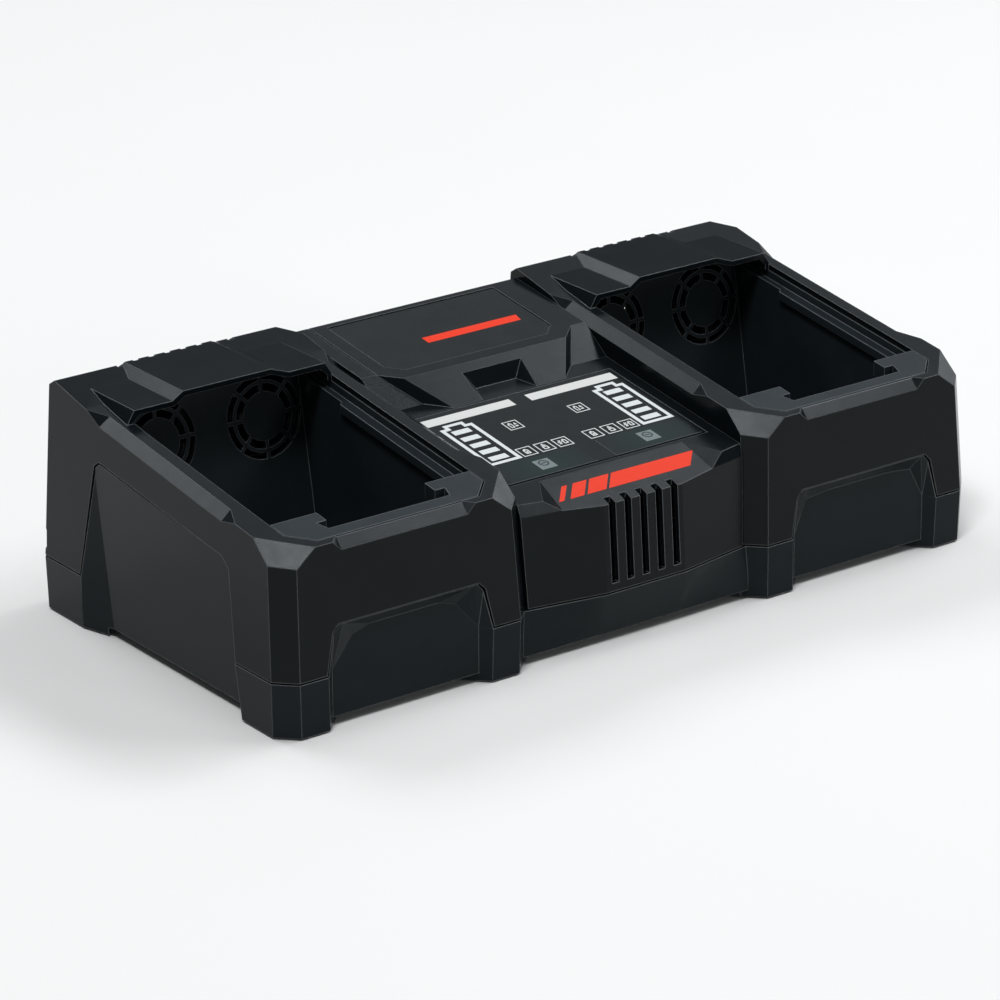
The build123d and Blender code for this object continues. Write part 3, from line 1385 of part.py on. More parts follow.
for side, sign in pods.items():
    middle = sign * POD_PITCH / 2
    with BuildPart() as bay_cover:
        with Locations((middle, 0, 0)):
            add(pod_cover(sign))
    pieces[f"bay_cover_{side}"] = bay_cover
    with BuildPart() as battery_bay:
        with Locations((middle, 0, 0)):
            add(well_liner)
    pieces[f"battery_well_{side}"] = battery_bay
    with BuildPart() as block:
        with Locations((middle, 0, 0)):
            add(block_shape)
    pieces[f"terminal_block_{side}"] = block
    with BuildPart() as blades:
        with Locations((middle, 0, 0)):
            add(blades_shape)
    pieces[f"terminal_blades_{side}"] = blades
    for place, offset in (("outer", sign), ("inner", -sign)):
        centre = Location((middle, 0, 0)) * wall * Location((offset * FAN_PITCH / 2, 0, 0))
        with BuildPart() as frame:
            with Locations(centre):
                add(frame_shape)
        pieces[f"fan_frame_{side}_{place}"] = frame
        with BuildPart() as rotor:
            with Locations(centre):
                add(rotor_shape)
        pieces[f"fan_rotor_{side}_{place}"] = rotor

with BuildPart() as fan_screws:
    for sign in pods.values():
        for x, y in fan_screw_places():
            with Locations(Location((sign * POD_PITCH / 2, 0, 0)) * wall * Location((x, y, 0))):
                add(screw_shape)
pieces["fan_screws"] = fan_screws

with BuildPart() as console_cover:
    add(console_cover_shape())
pieces["console_cover"] = console_cover

with BuildPart() as name_panel:
    with BuildSketch(slope_plane(PLATE_BASE).offset(-NAME_INSET)):
        add(name_outline(0.0))
    extrude(amount=-SHEET)
pieces["name_panel"] = name_panel

with BuildPart() as display_panel:
    with BuildSketch(slope_plane(DISPLAY_BASE)):
        add(display_outline(0.0))
        add(light_outline(-1, AXLE_CLEARANCE), mode=Mode.SUBTRACT)
        add(light_outline(1, AXLE_CLEARANCE), mode=Mode.SUBTRACT)
    extrude(amount=-SHEET)
pieces["display_panel"] = display_panel

for side, sign in pods.items():
    with BuildPart() as light_bar:
        with BuildSketch(slope_plane(DISPLAY_BASE)):
            add(light_outline(sign, 0.0))
        extrude(amount=-DISPLAY_BOARD_DROP)
    pieces[f"light_bar_{side}"] = light_bar

with BuildPart() as display_board:
    with BuildSketch(slope_plane(DISPLAY_BASE).offset(-DISPLAY_BOARD_DROP)):
        with Locations((0, along((DISPLAY_BOARD_FRONT + LIGHT_REAR) / 2))):
            Rectangle(2 * DISPLAY_BOARD_HALF, along(LIGHT_REAR - DISPLAY_BOARD_FRONT))
        peg(FAN_SCREW / 2 + SCREW_CLEARANCE, display_post_places(), Mode.SUBTRACT)
    extrude(amount=-BOARD_THICK)
pieces["display_board"] = display_board

with BuildPart() as main_board:
    with BuildSketch(Plane.XY.offset(BOARD_Z)):
        with Locations((0, back((BOARD_FRONT + BOARD_REAR) / 2))):
            Rectangle(BOARD_WIDTH, BOARD_REAR - BOARD_FRONT)
        peg(FAN_SCREW / 2 + SCREW_CLEARANCE, board_screw_places(), Mode.SUBTRACT)
    extrude(amount=BOARD_THICK)
pieces["main_board"] = main_board
BOARD_TOP = BOARD_Z + BOARD_THICK

inlet_body, inlet_contacts = inlet_shape()
with BuildPart() as power_inlet:
    add(inlet_body)
pieces["power_inlet"] = power_inlet
with BuildPart() as inlet_pins:
    add(inlet_contacts)
pieces["inlet_pins"] = inlet_pins

with BuildPart() as housing_screws:
    with BuildSketch(Plane.XY.offset(SCREW_SINK)):
        peg(SCREW / 2, housing_screw_places())
    extrude(amount=SCREW_TIP - SCREW_SINK)
    with BuildSketch(Plane.XY.offset(SCREW_SINK)):
        peg(SCREW_HEAD / 2, housing_screw_places())
    extrude(amount=-SCREW_HEAD_HIGH)
pieces["housing_screws"] = housing_screws

with BuildPart() as rubber_feet:
    with BuildSketch(Plane.XY):
        peg(PAD / 2, pad_places())
    extrude(amount=PAD_THICK)
pieces["rubber_feet"] = rubber_feet

with BuildPart() as transformer_core:
    with BuildSketch(Plane.XZ.offset(-back(CORE_BACK))):
        with Locations((CORE_X, BOARD_TOP + CORE_HEIGHT / 2)):
            Rectangle(CORE_WIDTH, CORE_HEIGHT)
        with Locations((CORE_X, BOARD_TOP + CORE_HEIGHT / 2)):
            with GridLocations(CORE_LEG + CORE_WINDOW, 1, 2, 1):
                Rectangle(CORE_WINDOW, CORE_HEIGHT - 2 * CORE_YOKE, mode=Mode.SUBTRACT)
    extrude(amount=CORE_LENGTH / 2, both=True)
pieces["transformer_core"] = transformer_core

with BuildPart() as transformer_coil:
    with BuildSketch(Plane.XY.offset(BOARD_TOP + CORE_YOKE)):
        with Locations((CORE_X, back(CORE_BACK))):
            coil = Rectangle(CORE_LEG + 2 * CORE_WINDOW, CORE_LENGTH + 2 * CORE_WINDOW)
        chamfer(coil.vertices(), CORE_WINDOW / 2)
        with Locations((CORE_X, back(CORE_BACK))):
            Rectangle(CORE_LEG, CORE_LENGTH, mode=Mode.SUBTRACT)
    extrude(amount=CORE_HEIGHT - 2 * CORE_YOKE)
pieces["transformer_coil"] = transformer_coil

with BuildPart() as heat_sink:
    with BuildSketch(Plane.XZ.offset(-back(SINK_BACK))):
        with Locations((SINK_X, BOARD_TOP + SINK_HEIGHT / 2)):
            with GridLocations(FIN_PITCH, 1, SINK_FINS, 1):
                Rectangle(FIN_THICK, SINK_HEIGHT)
        with Locations((SINK_X, BOARD_TOP + FIN_THICK)):
            Rectangle((SINK_FINS - 1) * FIN_PITCH + FIN_THICK, 2 * FIN_THICK)
    extrude(amount=SINK_LENGTH / 2, both=True)
pieces["heat_sink"] = heat_sink

with BuildPart() as capacitors:
    with BuildSketch(Plane.XY.offset(BOARD_TOP)):
        with Locations((CAPACITOR_X, back(CAPACITOR_BACK))):
            with GridLocations(1, CAPACITOR + 2, 1, CAPACITOR_COUNT):
                RegularPolygon(CAPACITOR / 2, HUB_SIDES)
    extrude(amount=CAPACITOR_HEIGHT)
pieces["capacitors"] = capacitors

with BuildPart() as choke_coil:
    with BuildSketch(Plane.XZ.offset(-back(CHOKE_BACK))):
        with Locations((CHOKE_X + CHOKE_RADIUS, BOARD_TOP + CHOKE_WIRE)):
            peg(CHOKE_WIRE)
    revolve(axis=Axis((CHOKE_X, back(CHOKE_BACK), 0), (0, 0, 1)))
pieces["choke_coil"] = choke_coil

with BuildPart() as fuse:
    fuse_middle = [(back(FUSE_BACK), BOARD_TOP + FUSE / 2 + FUSE_CAP)]
    with BuildSketch(Plane.YZ.offset(FUSE_X - FUSE_LENGTH / 2)):
        peg(FUSE / 2, fuse_middle)
    extrude(amount=FUSE_LENGTH)
    for end in (FUSE_X - FUSE_LENGTH / 2, FUSE_X + FUSE_LENGTH / 2 - FUSE):
        with BuildSketch(Plane.YZ.offset(end)):
            peg(FUSE / 2 + FUSE_CAP, fuse_middle)
        extrude(amount=FUSE)
pieces["fuse"] = fuse

with BuildPart() as board_screws:
    with BuildSketch(Plane.XY.offset(BOARD_TOP)):
        peg(FAN_SCREW, board_screw_places())
    extrude(amount=FAN_HEAD)
    with BuildSketch(Plane.XY.offset(BOARD_TOP)):
        peg(FAN_SCREW / 2, board_screw_places())
    extrude(amount=-BOARD_SCREW_LENGTH)
    board_under = slope_plane(DISPLAY_BASE).offset(-DISPLAY_BOARD_DROP - BOARD_THICK)
    with BuildSketch(board_under):
        peg(FAN_SCREW, display_post_places())
    extrude(amount=-FAN_HEAD)
    with BuildSketch(board_under):
        peg(FAN_SCREW / 2, display_post_places())
    extrude(amount=DISPLAY_SCREW_LENGTH)
pieces["board_screws"] = board_screws

os.makedirs("parts", exist_ok=True)
for name, piece in pieces.items():
    piece.part.label = name
    export_step(piece.part, f"parts/{name}.step")
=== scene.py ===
"""Looks of the twin-bay battery charger: moulded plastics, seams, printed display, camera and studio."""

from math import cos, pi, radians, sin, tan

import bmesh
import bpy
from mathutils import Euler, Matrix, Vector
from mathutils.bvhtree import BVHTree


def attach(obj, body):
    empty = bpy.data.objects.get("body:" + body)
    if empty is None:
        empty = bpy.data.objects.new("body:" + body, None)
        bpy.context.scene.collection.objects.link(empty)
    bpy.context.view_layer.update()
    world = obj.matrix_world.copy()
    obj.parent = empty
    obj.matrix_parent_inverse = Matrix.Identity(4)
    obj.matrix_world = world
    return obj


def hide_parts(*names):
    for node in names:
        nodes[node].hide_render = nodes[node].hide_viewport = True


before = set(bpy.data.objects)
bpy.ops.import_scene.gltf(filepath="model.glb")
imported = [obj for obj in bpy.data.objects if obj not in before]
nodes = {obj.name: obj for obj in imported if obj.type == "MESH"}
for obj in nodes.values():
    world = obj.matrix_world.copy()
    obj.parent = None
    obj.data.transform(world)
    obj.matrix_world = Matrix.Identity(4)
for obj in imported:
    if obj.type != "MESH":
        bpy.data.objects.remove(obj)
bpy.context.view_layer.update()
CHARGER = "charger"

# ------------------------------------------------------------------ sizes, in millimetres
MM = 0.001
DEPTH = 195.5  # from the front face to the back
SLOPE = radians(8.0)  # plate and display rise backwards at this angle
RISE = tan(SLOPE)
PLATE_BASE = 79.9  # height at which the plate's plane meets the front face
DISPLAY_BASE = 70.6  # the same for the display
NAME_INSET = 0.5  # the name panel lies this far below the plate
SLANT_FRONT = 2.3  # the console's front slant starts this far behind the front face
SLANT_REAR = 25.3  # and ends here, in the display's plane
SLANT_LOW = 65.3  # height of the slant's lower edge
POD_MIDDLE = 125.0  # from the charger's middle to a pod's
PANEL_TOP = 46.5  # height of the front panels' upper edge
PANEL_HALF = 36.5  # half the width of a front panel
PANEL_DEPTHS = (4.0, 8.0)  # that edge lies between these depths behind the front face
PANEL_FLUSH = 1.7  # and is brought forward to this one
PANEL_NEAR = 0.3  # a corner this near the edge's height belongs to it
EDGE = 0.55  # radius of a moulding's edge
WELD = 0.002  # corners this near each other are one
SEAM_REACH = 0.75  # a face this near another node belongs to a seam
SEAM_OPEN = 0.18  # each side of a seam stands back by this much more than in the frame
SEAM_START = 0.02  # a face looks for its neighbour from this far off
PRINT = 0.05  # a printed mark stands out by this much
SIGN_BOX = 7.7  # side of the box around a sign

# ------------------------------------------------------------------ angles between faces
SHARP = radians(9)  # a bend of more than this stays sharp
ALIKE = 0.7  # faces whose normals have at least this product move as one

# ------------------------------------------------------------------ camera
CAMERA_PLACE = (-1.1343, -1.5271, 0.7777)
CAMERA_YAW = 36.443
CAMERA_PITCH = 21.364
CAMERA_ROLL = -0.462
CAMERA_CLIP = (0.05, 50.0)
FOCAL_PIXELS = 4549.9
IMAGE_PIXELS = 1000.0
SENSOR = 36.0

# ------------------------------------------------------------------ studio, in metres and watts
LAMP_DISTANCE = 3.2
LIGHT_COLOUR = (0.9, 0.96, 1.0)
SURROUND_STRENGTH = 0.14
FLOOR_REACH = 6.0
FLOOR_DROP = 0.0002  # the floor lies this far below the rubber pads
LAMPS = {  # name: direction, width and length, power
    "key_left": ((-0.37, -0.29, 0.88), (0.62, 0.62), 40),
    "key_right": ((0.62, -0.22, 0.74), (2.2, 0.65), 46),
    "key_far": ((0.58, 0.15, 0.8), (1.2, 0.8), 13),
    "overhead": ((-0.05, 0.1, 0.99), (0.7, 0.7), 8),
    "back_left": ((-0.15, 0.67, 0.725), (1.7, 1.1), 33),
    "back_right": ((0.53, 0.62, 0.57), (1.6, 0.8), 2.6),
    "rim_right": ((0.93, 0.32, 0.18), (0.8, 0.5), 3.5),
    "fill_front": ((0.22, -0.93, 0.3), (0.6, 0.6), 8),
}

# ------------------------------------------------------------------ colours used more than once
DISPLAY_BLACK = (0.0066, 0.0078, 0.0086)
SOOT = (0.012, 0.012, 0.012)
LOW_SHEEN = 0.12  # specular level of the dull plastics and inks


# ================================================================== camera and studio
def add_object(name, data):
    """A new object in the scene."""
    made = bpy.data.objects.new(name, data)
    bpy.context.scene.collection.objects.link(made)
    return made


def make_camera():
    """The camera at the photograph's viewing angle."""
    data = bpy.data.cameras.new("camera")
    camera = add_object("camera", data)
    data.sensor_width = SENSOR
    data.lens = FOCAL_PIXELS / IMAGE_PIXELS * SENSOR
    data.clip_start, data.clip_end = CAMERA_CLIP
    turn = Euler((radians(90 - CAMERA_PITCH), 0, radians(-CAMERA_YAW)), "XYZ").to_matrix()
    roll = Matrix.Rotation(radians(CAMERA_ROLL), 3, "Z")
    camera.matrix_world = Matrix.Translation(CAMERA_PLACE) @ (turn @ roll).to_4x4()
    bpy.context.scene.camera = camera


def softbox(name, direction, size, power):
    """An area lamp of a width and a length that faces the object from a direction."""
    data = bpy.data.lights.new(name, "AREA")
    data.shape = "RECTANGLE"
    data.size, data.size_y = size
    data.energy = power
    data.color = LIGHT_COLOUR
    lamp = add_object(name, data)
    away = Vector(direction).normalized()
    lamp.location = away * LAMP_DISTANCE
    lamp.rotation_euler = away.to_track_quat("Z", "Y").to_euler()


def make_studio():
    """Soft lamps, an even surround and a pale floor."""
    for name, (direction, size, power) in LAMPS.items():
        softbox(name, direction, size, power)
    world = bpy.data.worlds.new("surround")
    world.use_nodes = True
    bpy.context.scene.world = world
    surround = world.node_tree.nodes["Background"]
    surround.inputs["Color"].default_value = (*LIGHT_COLOUR, 1)
    surround.inputs["Strength"].default_value = SURROUND_STRENGTH
    mesh = bpy.data.meshes.new("floor")
    corners = [(x * FLOOR_REACH, y * FLOOR_REACH, 0) for x, y in ((-1, -1), (1, -1), (1, 1), (-1, 1))]
    mesh.from_pydata(corners, [], [(0, 1, 2, 3)])
    mesh.materials.append(floor_material())
    floor = add_object("floor", mesh)
    floor.location.z = -FLOOR_DROP


# ================================================================== material helpers
def shade(colour, times, plus=0.0):
    """The colour made lighter or darker."""
    return tuple(min(1.0, c * times + plus) for c in colour)


class Shader:
    """A small wrapper that adds and links the nodes of one material."""

    def __init__(self, name):
        self.material = bpy.data.materials.new(name)
        self.material.use_nodes = True
        self.tree = self.material.node_tree
        self.surface = self.tree.nodes["Principled BSDF"]

    def node(self, kind, **inputs):
        """Adds a node; inputs are default values by socket name."""
        made = self.tree.nodes.new(kind)
        for key, value in inputs.items():
            made.inputs[key.replace("_", " ")].default_value = value
        return made

    def link(self, source, target):
        self.tree.links.new(source, target)

    def place(self):
        """Object coordinates, which are metres in the row frame."""
        return self.node("ShaderNodeTexCoord").outputs["Object"]

    def noise(self, scale, detail=3.0, rough=0.55):
        """Fractal noise from 0 to 1."""
        made = self.node("ShaderNodeTexNoise", Scale=scale, Detail=detail, Roughness=rough)
        self.link(self.place(), made.inputs["Vector"])
        return made.outputs["Fac"]

    def vector_math(self, operation, first):
        """A vector node whose first input is linked."""
        made = self.node("ShaderNodeVectorMath")
        made.operation = operation
        self.link(first, made.inputs[0])
        return made

    def spread(self, source, low, high, start=0.0, end=1.0):
        """Maps the range from start to end onto the one from low to high."""
        made = self.node("ShaderNodeMapRange", From_Min=start, From_Max=end, To_Min=low, To_Max=high)
        self.link(source, made.inputs["Value"])
        return made.outputs["Result"]

    def blend(self, factor, first, second):
        """Mixes two colours, each a tuple or a socket, by a factor socket."""
        made = self.tree.nodes.new("ShaderNodeMix")
        made.data_type = "RGBA"
        for socket, value in ((made.inputs[6], first), (made.inputs[7], second)):
            if isinstance(value, tuple):
                socket.default_value = (*value, 1)
            else:
                self.link(value, socket)
        self.link(factor, made.inputs[0])
        return made.outputs[2]

    def bump(self, height, strength, distance, before=None):
        """A normal with a small relief, on top of another normal if one is given."""
        made = self.node("ShaderNodeBump", Strength=strength, Distance=distance)
        self.link(height, made.inputs["Height"])
        if before is not None:
            self.link(before, made.inputs["Normal"])
        return made.outputs["Normal"]

    def finish(self, tone, roughness=None, normal=None, **values):
        """Links colour, roughness and normal, sets the other sockets and gives the material."""
        for key, source in (("Base Color", tone), ("Roughness", roughness), ("Normal", normal)):
            if source is not None:
                self.link(source, self.surface.inputs[key])
        for key, value in values.items():
            self.surface.inputs[key.replace("_", " ")].default_value = value
        return self.material


# ================================================================== materials
def moulded(name, colour, rough, level, grain=0.5):
    """Moulded plastic: fine eroded grain, faint flow clouds, edges rounded and painted paler as a
    highlight.
    """
    shader = Shader(name)
    clouds = shader.spread(shader.noise(38.0, 4.0, 0.6), 0.0, 1.0, start=0.3, end=0.7)
    tone = shader.blend(clouds, shade(colour, 0.88), shade(colour, 1.12, 0.0005))
    specks = shader.spread(shader.noise(5200.0, 2.0, 0.5), 0.0, 0.35, start=0.5, end=0.8)
    tone = shader.blend(specks, tone, shade(colour, 1.8, 0.002))
    # an edge is where the rounded normal leaves the face's own
    bevel = shader.node("ShaderNodeBevel", Radius=EDGE * MM)
    bevel.samples = 6
    rounded = bevel.outputs["Normal"]
    facing = shader.vector_math("DOT_PRODUCT", rounded)
    shader.link(shader.node("ShaderNodeNewGeometry").outputs["True Normal"], facing.inputs[1])
    # painted highlight: the colour turns much paler along the rounded edges, standing in for light
    # caught there
    painted_edge_highlight = shader.spread(facing.outputs["Value"], 0.8, 0.0, start=0.9, end=0.995)
    tone = shader.blend(painted_edge_highlight, tone, shade(colour, 2.5, 0.2))
    smear = shader.spread(shader.noise(90.0, 5.0, 0.65), rough - 0.03, rough + 0.04, start=0.3, end=0.7)
    fine = shader.bump(shader.noise(4200.0, 3.0, 0.6), grain, 0.00004, before=rounded)
    coarse = shader.bump(shader.noise(1500.0, 2.0, 0.5), grain * 0.5, 0.00006, before=fine)
    return shader.finish(tone, smear, coarse, Specular_IOR_Level=level)


def smooth_plastic(name, colour, rough, level=0.4):
    """Smooth plastic with a slight orange-peel surface."""
    shader = Shader(name)
    tone = shader.blend(shader.noise(60.0), shade(colour, 0.9), shade(colour, 1.1))
    smear = shader.spread(shader.noise(140.0), rough * 0.85, rough * 1.2)
    peel = shader.bump(shader.noise(700.0, 2.0), 0.1, 0.00003)
    return shader.finish(tone, smear, peel, Specular_IOR_Level=level)


def printed(name, colour, glow=0.0):
    """Screen-printed ink with a slightly uneven coat."""
    shader = Shader(name)
    tone = shader.blend(shader.noise(900.0, 2.0), shade(colour, 0.9), colour)
    smear = shader.spread(shader.noise(2500.0), 0.42, 0.6)
    coat = shader.bump(shader.noise(3000.0, 2.0), 0.2, 0.00002)
    light = {"Emission_Color": (*colour, 1), "Emission_Strength": glow} if glow else {}
    return shader.finish(tone, smear, coat, Specular_IOR_Level=LOW_SHEEN, **light)


def touch_film(name, centre):
    """The faintly green film of a touch field, strongest in its middle."""
    shader = Shader(name)
    away = shader.vector_math("DISTANCE", shader.place())
    away.inputs[1].default_value = centre
    near = shader.spread(away.outputs["Value"], 1.0, 0.0, start=0.006, end=0.03)
    tone = shader.blend(near, (0.0075, 0.0088, 0.0098), (0.0075, 0.0185, 0.0165))
    smear = shader.spread(shader.noise(140.0), 0.19, 0.25)
    peel = shader.bump(shader.noise(700.0, 2.0), 0.1, 0.00003)
    return shader.finish(tone, smear, peel, Specular_IOR_Level=LOW_SHEEN)


def metal(name, colour, rough):
    """Bare or plated metal with fine drawn lines."""
    shader = Shader(name)
    stretched = shader.node("ShaderNodeMapping", Scale=(1.0, 14.0, 1.0))
    shader.link(shader.place(), stretched.inputs["Vector"])
    drawn = shader.node("ShaderNodeTexNoise", Scale=900.0, Detail=3.0)
    shader.link(stretched.outputs["Vector"], drawn.inputs["Vector"])
    lines = drawn.outputs["Fac"]
    tone = shader.blend(lines, shade(colour, 0.85), colour)
    smear = shader.spread(lines, rough * 0.8, rough * 1.3)
    return shader.finish(tone, smear, shader.bump(lines, 0.3, 0.00002), Metallic=1.0)


def circuit_board(name):
    """Solder mask with tracks and pads."""
    shader = Shader(name)
    tracks = shader.node(
        "ShaderNodeTexBrick",
        Scale=160.0,
        Mortar_Size=0.06,
        Color1=(0.01, 0.09, 0.035, 1),
        Color2=(0.012, 0.12, 0.045, 1),
        Mortar=(0.02, 0.2, 0.08, 1),
    )
    shader.link(shader.place(), tracks.inputs["Vector"])
    smear = shader.spread(shader.noise(200.0), 0.25, 0.4)
    relief = shader.bump(tracks.outputs["Fac"], 0.4, 0.00003)
    return shader.finish(tracks.outputs["Color"], smear, relief)


def winding(name):
    """Lacquered copper wire wound side by side."""
    shader = Shader(name)
    waves = shader.node("ShaderNodeTexWave", Scale=260.0, Distortion=0.6, Detail=1.0)
    waves.bands_direction = "Z"
    shader.link(shader.place(), waves.inputs["Vector"])
    turns = waves.outputs["Fac"]
    tone = shader.blend(turns, (0.16, 0.05, 0.015), (0.62, 0.27, 0.09))
    smear = shader.spread(turns, 0.5, 0.25)
    return shader.finish(tone, smear, shader.bump(turns, 0.8, 0.0004), Metallic=0.7)


def floor_material():
    """A plain pale studio floor."""
    shader = Shader("studio_floor")
    tone = shader.blend(shader.noise(3.0), (0.85, 0.81, 0.78), (0.87, 0.83, 0.8))
    return shader.finish(tone, Roughness=0.8, Specular_IOR_Level=0.1)


# ================================================================== pieces
def piece_from(form, name, material):
    """A piece of the visual model from a bmesh, riding on the charger's body."""
    mesh = bpy.data.meshes.new(name)
    form.to_mesh(mesh)
    form.free()
    mesh.materials.append(material)
    piece = add_object(name, mesh)
    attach(piece, CHARGER)
    return piece


def shell(node, material, reshape=None, beside=()):
    """Stands in for a CAD node of the same shape; its material rounds the edges as a moulding's are."""
    form = bmesh.new()
    form.from_mesh(nodes[node].data)
    bmesh.ops.remove_doubles(form, verts=form.verts, dist=WELD * MM)
    if reshape:
        reshape(form)
    open_seams(form, beside)
    for edge in form.edges:
        edge.smooth = len(edge.link_faces) == 2 and edge.calc_face_angle(0.0) < SHARP
    for face in form.faces:
        face.smooth = True
    piece = piece_from(form, node + "_shell", material)
    weighted = piece.modifiers.new("shading", "WEIGHTED_NORMAL")
    weighted.keep_sharp = True
    weighted.weight = 100
    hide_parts(node)


def open_seams(form, others):
    """Widens each narrow gap towards other nodes, so that the seam reads as a dark line."""
    form.normal_update()
    trees = []
    for other in others:
        mesh = nodes[other].data
        corners = [vert.co for vert in mesh.vertices]
        trees.append(BVHTree.FromPolygons(corners, [face.vertices for face in mesh.polygons]))
    shift = {}
    for face in form.faces:
        start = face.calc_center_median() + face.normal * SEAM_START * MM
        hits = [tree.ray_cast(start, face.normal, SEAM_REACH * MM)[0] for tree in trees]
        if all(hit is None for hit in hits):
            continue
        for vert in face.verts:
            known = shift.setdefault(vert, [])
            if all(face.normal.dot(other) < ALIKE for other in known):
                known.append(face.normal.copy())
    for vert, normals in shift.items():
        for normal in normals:
            vert.co -= normal * SEAM_OPEN * MM


def flush_panel_top(form):
    """Brings the upper edge of each front panel out flush with the cover around it."""
    nearest, farthest = PANEL_DEPTHS
    for vert in form.verts:
        across = abs(abs(vert.co.x) - POD_MIDDLE * MM)
        back = vert.co.y / MM + DEPTH / 2
        at_top = abs(vert.co.z - PANEL_TOP * MM) < PANEL_NEAR * MM
        if at_top and across < PANEL_HALF * MM and nearest < back < farthest:
            vert.co.y = (PANEL_FLUSH - DEPTH / 2) * MM


def dress(node, material):
    """Gives a CAD node its material."""
    mesh = nodes[node].data
    mesh.materials.clear()
    mesh.materials.append(material)


# ================================================================== places of the printed marks
def on_slope(x, y, base, lift):
    """A point of a face that rises backwards: x across, y behind the front face, lifted off the face."""
    normal = Vector((0, -sin(SLOPE), cos(SLOPE)))
    return Vector((x, y - DEPTH / 2, base + RISE * y)) * MM + normal * lift * MM


def on_display(x, y, lift=0.0):
    """A point of the display."""
    return on_slope(x, y, DISPLAY_BASE, lift)


def above_display(layers):
    """Places marks on the display over others: this many times as far out."""
    return lambda x, y, lift: on_display(x, y, layers * lift)


def on_name_panel(x, y, lift):
    """A point of the name panel."""
    return on_slope(x, y, PLATE_BASE - NAME_INSET, lift)


def on_slant(x, y, lift):
    """A point of the console's front slant."""
    rise = (DISPLAY_BASE + RISE * SLANT_REAR - SLANT_LOW) / (SLANT_REAR - SLANT_FRONT)
    normal = Vector((0, -rise, 1)).normalized()
    height = SLANT_LOW + rise * (y - SLANT_FRONT)
    return Vector((x, y - DEPTH / 2, height)) * MM + normal * lift * MM


# ================================================================== printed marks
def prints(name, outlines, material, place):
    """Thin raised marks: each outline is one ring of (x, y), or a list of a ring and its hole."""
    form = bmesh.new()
    for outline in outlines:
        outer, hole = outline if isinstance(outline[0], list) else (outline, None)
        top = [form.verts.new(place(x, y, PRINT)) for x, y in outer]
        low = [form.verts.new(place(x, y, -PRINT)) for x, y in outer]
        sides = [(i, (i + 1) % len(outer)) for i in range(len(outer))]
        if hole is None:
            form.faces.new(top)
        else:
            inner_top = [form.verts.new(place(x, y, PRINT)) for x, y in hole]
            inner_low = [form.verts.new(place(x, y, -PRINT)) for x, y in hole]
            for i, j in sides:
                form.faces.new((top[i], top[j], inner_top[j], inner_top[i]))
                form.faces.new((inner_top[i], inner_top[j], inner_low[j], inner_low[i]))
        for i, j in sides:
            form.faces.new((top[j], top[i], low[i], low[j]))
    bmesh.ops.recalc_face_normals(form, faces=form.faces)
    piece = piece_from(form, name, material)


def rectangle(x, y, width, height):
    """Corners of a rectangle about its middle, anticlockwise."""
    return [
        (x - width / 2, y - height / 2),
        (x + width / 2, y - height / 2),
        (x + width / 2, y + height / 2),
        (x - width / 2, y + height / 2),
    ]


def inset(outline, by):
    """The outline moved inwards by a line width (anticlockwise)."""
    made = []
    count = len(outline)
    for i in range(count):
        before, here, after = (Vector(outline[(i + k) % count]) for k in (-1, 0, 1))
        first, second = (here - before).normalized(), (after - here).normalized()
        normal_a, normal_b = Vector((-first.y, first.x)), Vector((-second.y, second.x))
        made.append(tuple(here + (normal_a + normal_b) * by / (1 + normal_a.dot(normal_b))))
    return made


def framed(outline, line):
    """The outline drawn with a line, open inside."""
    return [outline, inset(outline, line)]


def ring(x, y, radius, line, count=24):
    """A round ring drawn with a line."""
    turns = [2 * pi * i / count for i in range(count)]
    return [[(x + r * cos(t), y + r * sin(t)) for t in turns] for r in (radius, radius - line)]


def gauge(x):
    """A battery outline with five bars, its nub at the back; x is its middle."""
    half, front, rear, nub_half, nub = 8.7, 45.9, 83.2, 5.4, 2.9
    line, bars, first_bar, bar_step, bar_width, bar_height = 1.9, 5, 51.2, 6.75, 9.3, 3.7
    outline = [
        (x - half, front),
        (x + half, front),
        (x + half, rear),
        (x + nub_half, rear),
        (x + nub_half, rear + nub),
        (x - nub_half, rear + nub),
        (x - nub_half, rear),
        (x - half, rear),
    ]
    marks = [framed(outline, line)]
    for i in range(bars):
        marks.append(rectangle(x - 0.4, first_bar + i * bar_step, bar_width, bar_height))
    return marks


def sign_box(x, y):
    """The square box around a sign."""
    return framed(rectangle(x, y, SIGN_BOX, SIGN_BOX), 0.5)


def charge_sign(x, y):
    """Generic sign of an upper box: a cell with an arrow beside it."""
    return [
        framed(rectangle(x - 1.1, y - 0.2, 2.0, 3.8), 0.5),
        rectangle(x - 1.1, y + 2.1, 1.0, 0.6),
        [(x + 0.6, y - 1.6), (x + 2.0, y - 1.6), (x + 2.0, y - 0.6), (x + 0.6, y - 0.6)],
        [(x + 0.8, y + 0.2), (x + 2.3, y + 0.2), (x + 1.5, y + 2.2)],
    ]


def state_sign(x, y, kind):
    """Generic sign of a lower box: a cell with a bar, a wide cell, or a cell with a star."""
    if kind == 0:
        return [
            framed(rectangle(x, y - 0.3, 2.6, 3.6), 0.6),
            rectangle(x, y + 1.9, 1.2, 0.6),
            rectangle(x, y - 0.6, 0.8, 1.4),
        ]
    if kind == 1:
        return [
            framed(rectangle(x, y - 0.9, 2.8, 2.6), 0.6),
            rectangle(x, y + 1.1, 2.2, 0.7),
            rectangle(x, y + 2.2, 1.2, 0.7),
        ]
    return [
        framed(rectangle(x + 1.2, y - 0.2, 2.2, 3.4), 0.6),
        rectangle(x + 1.2, y + 1.9, 1.0, 0.5),
        rectangle(x - 1.4, y, 0.6, 3.6),
        rectangle(x - 1.4, y, 2.2, 0.6),
        [(x - 2.4, y - 1.5), (x - 2.0, y - 1.7), (x - 0.4, y + 1.5), (x - 0.8, y + 1.7)],
    ]


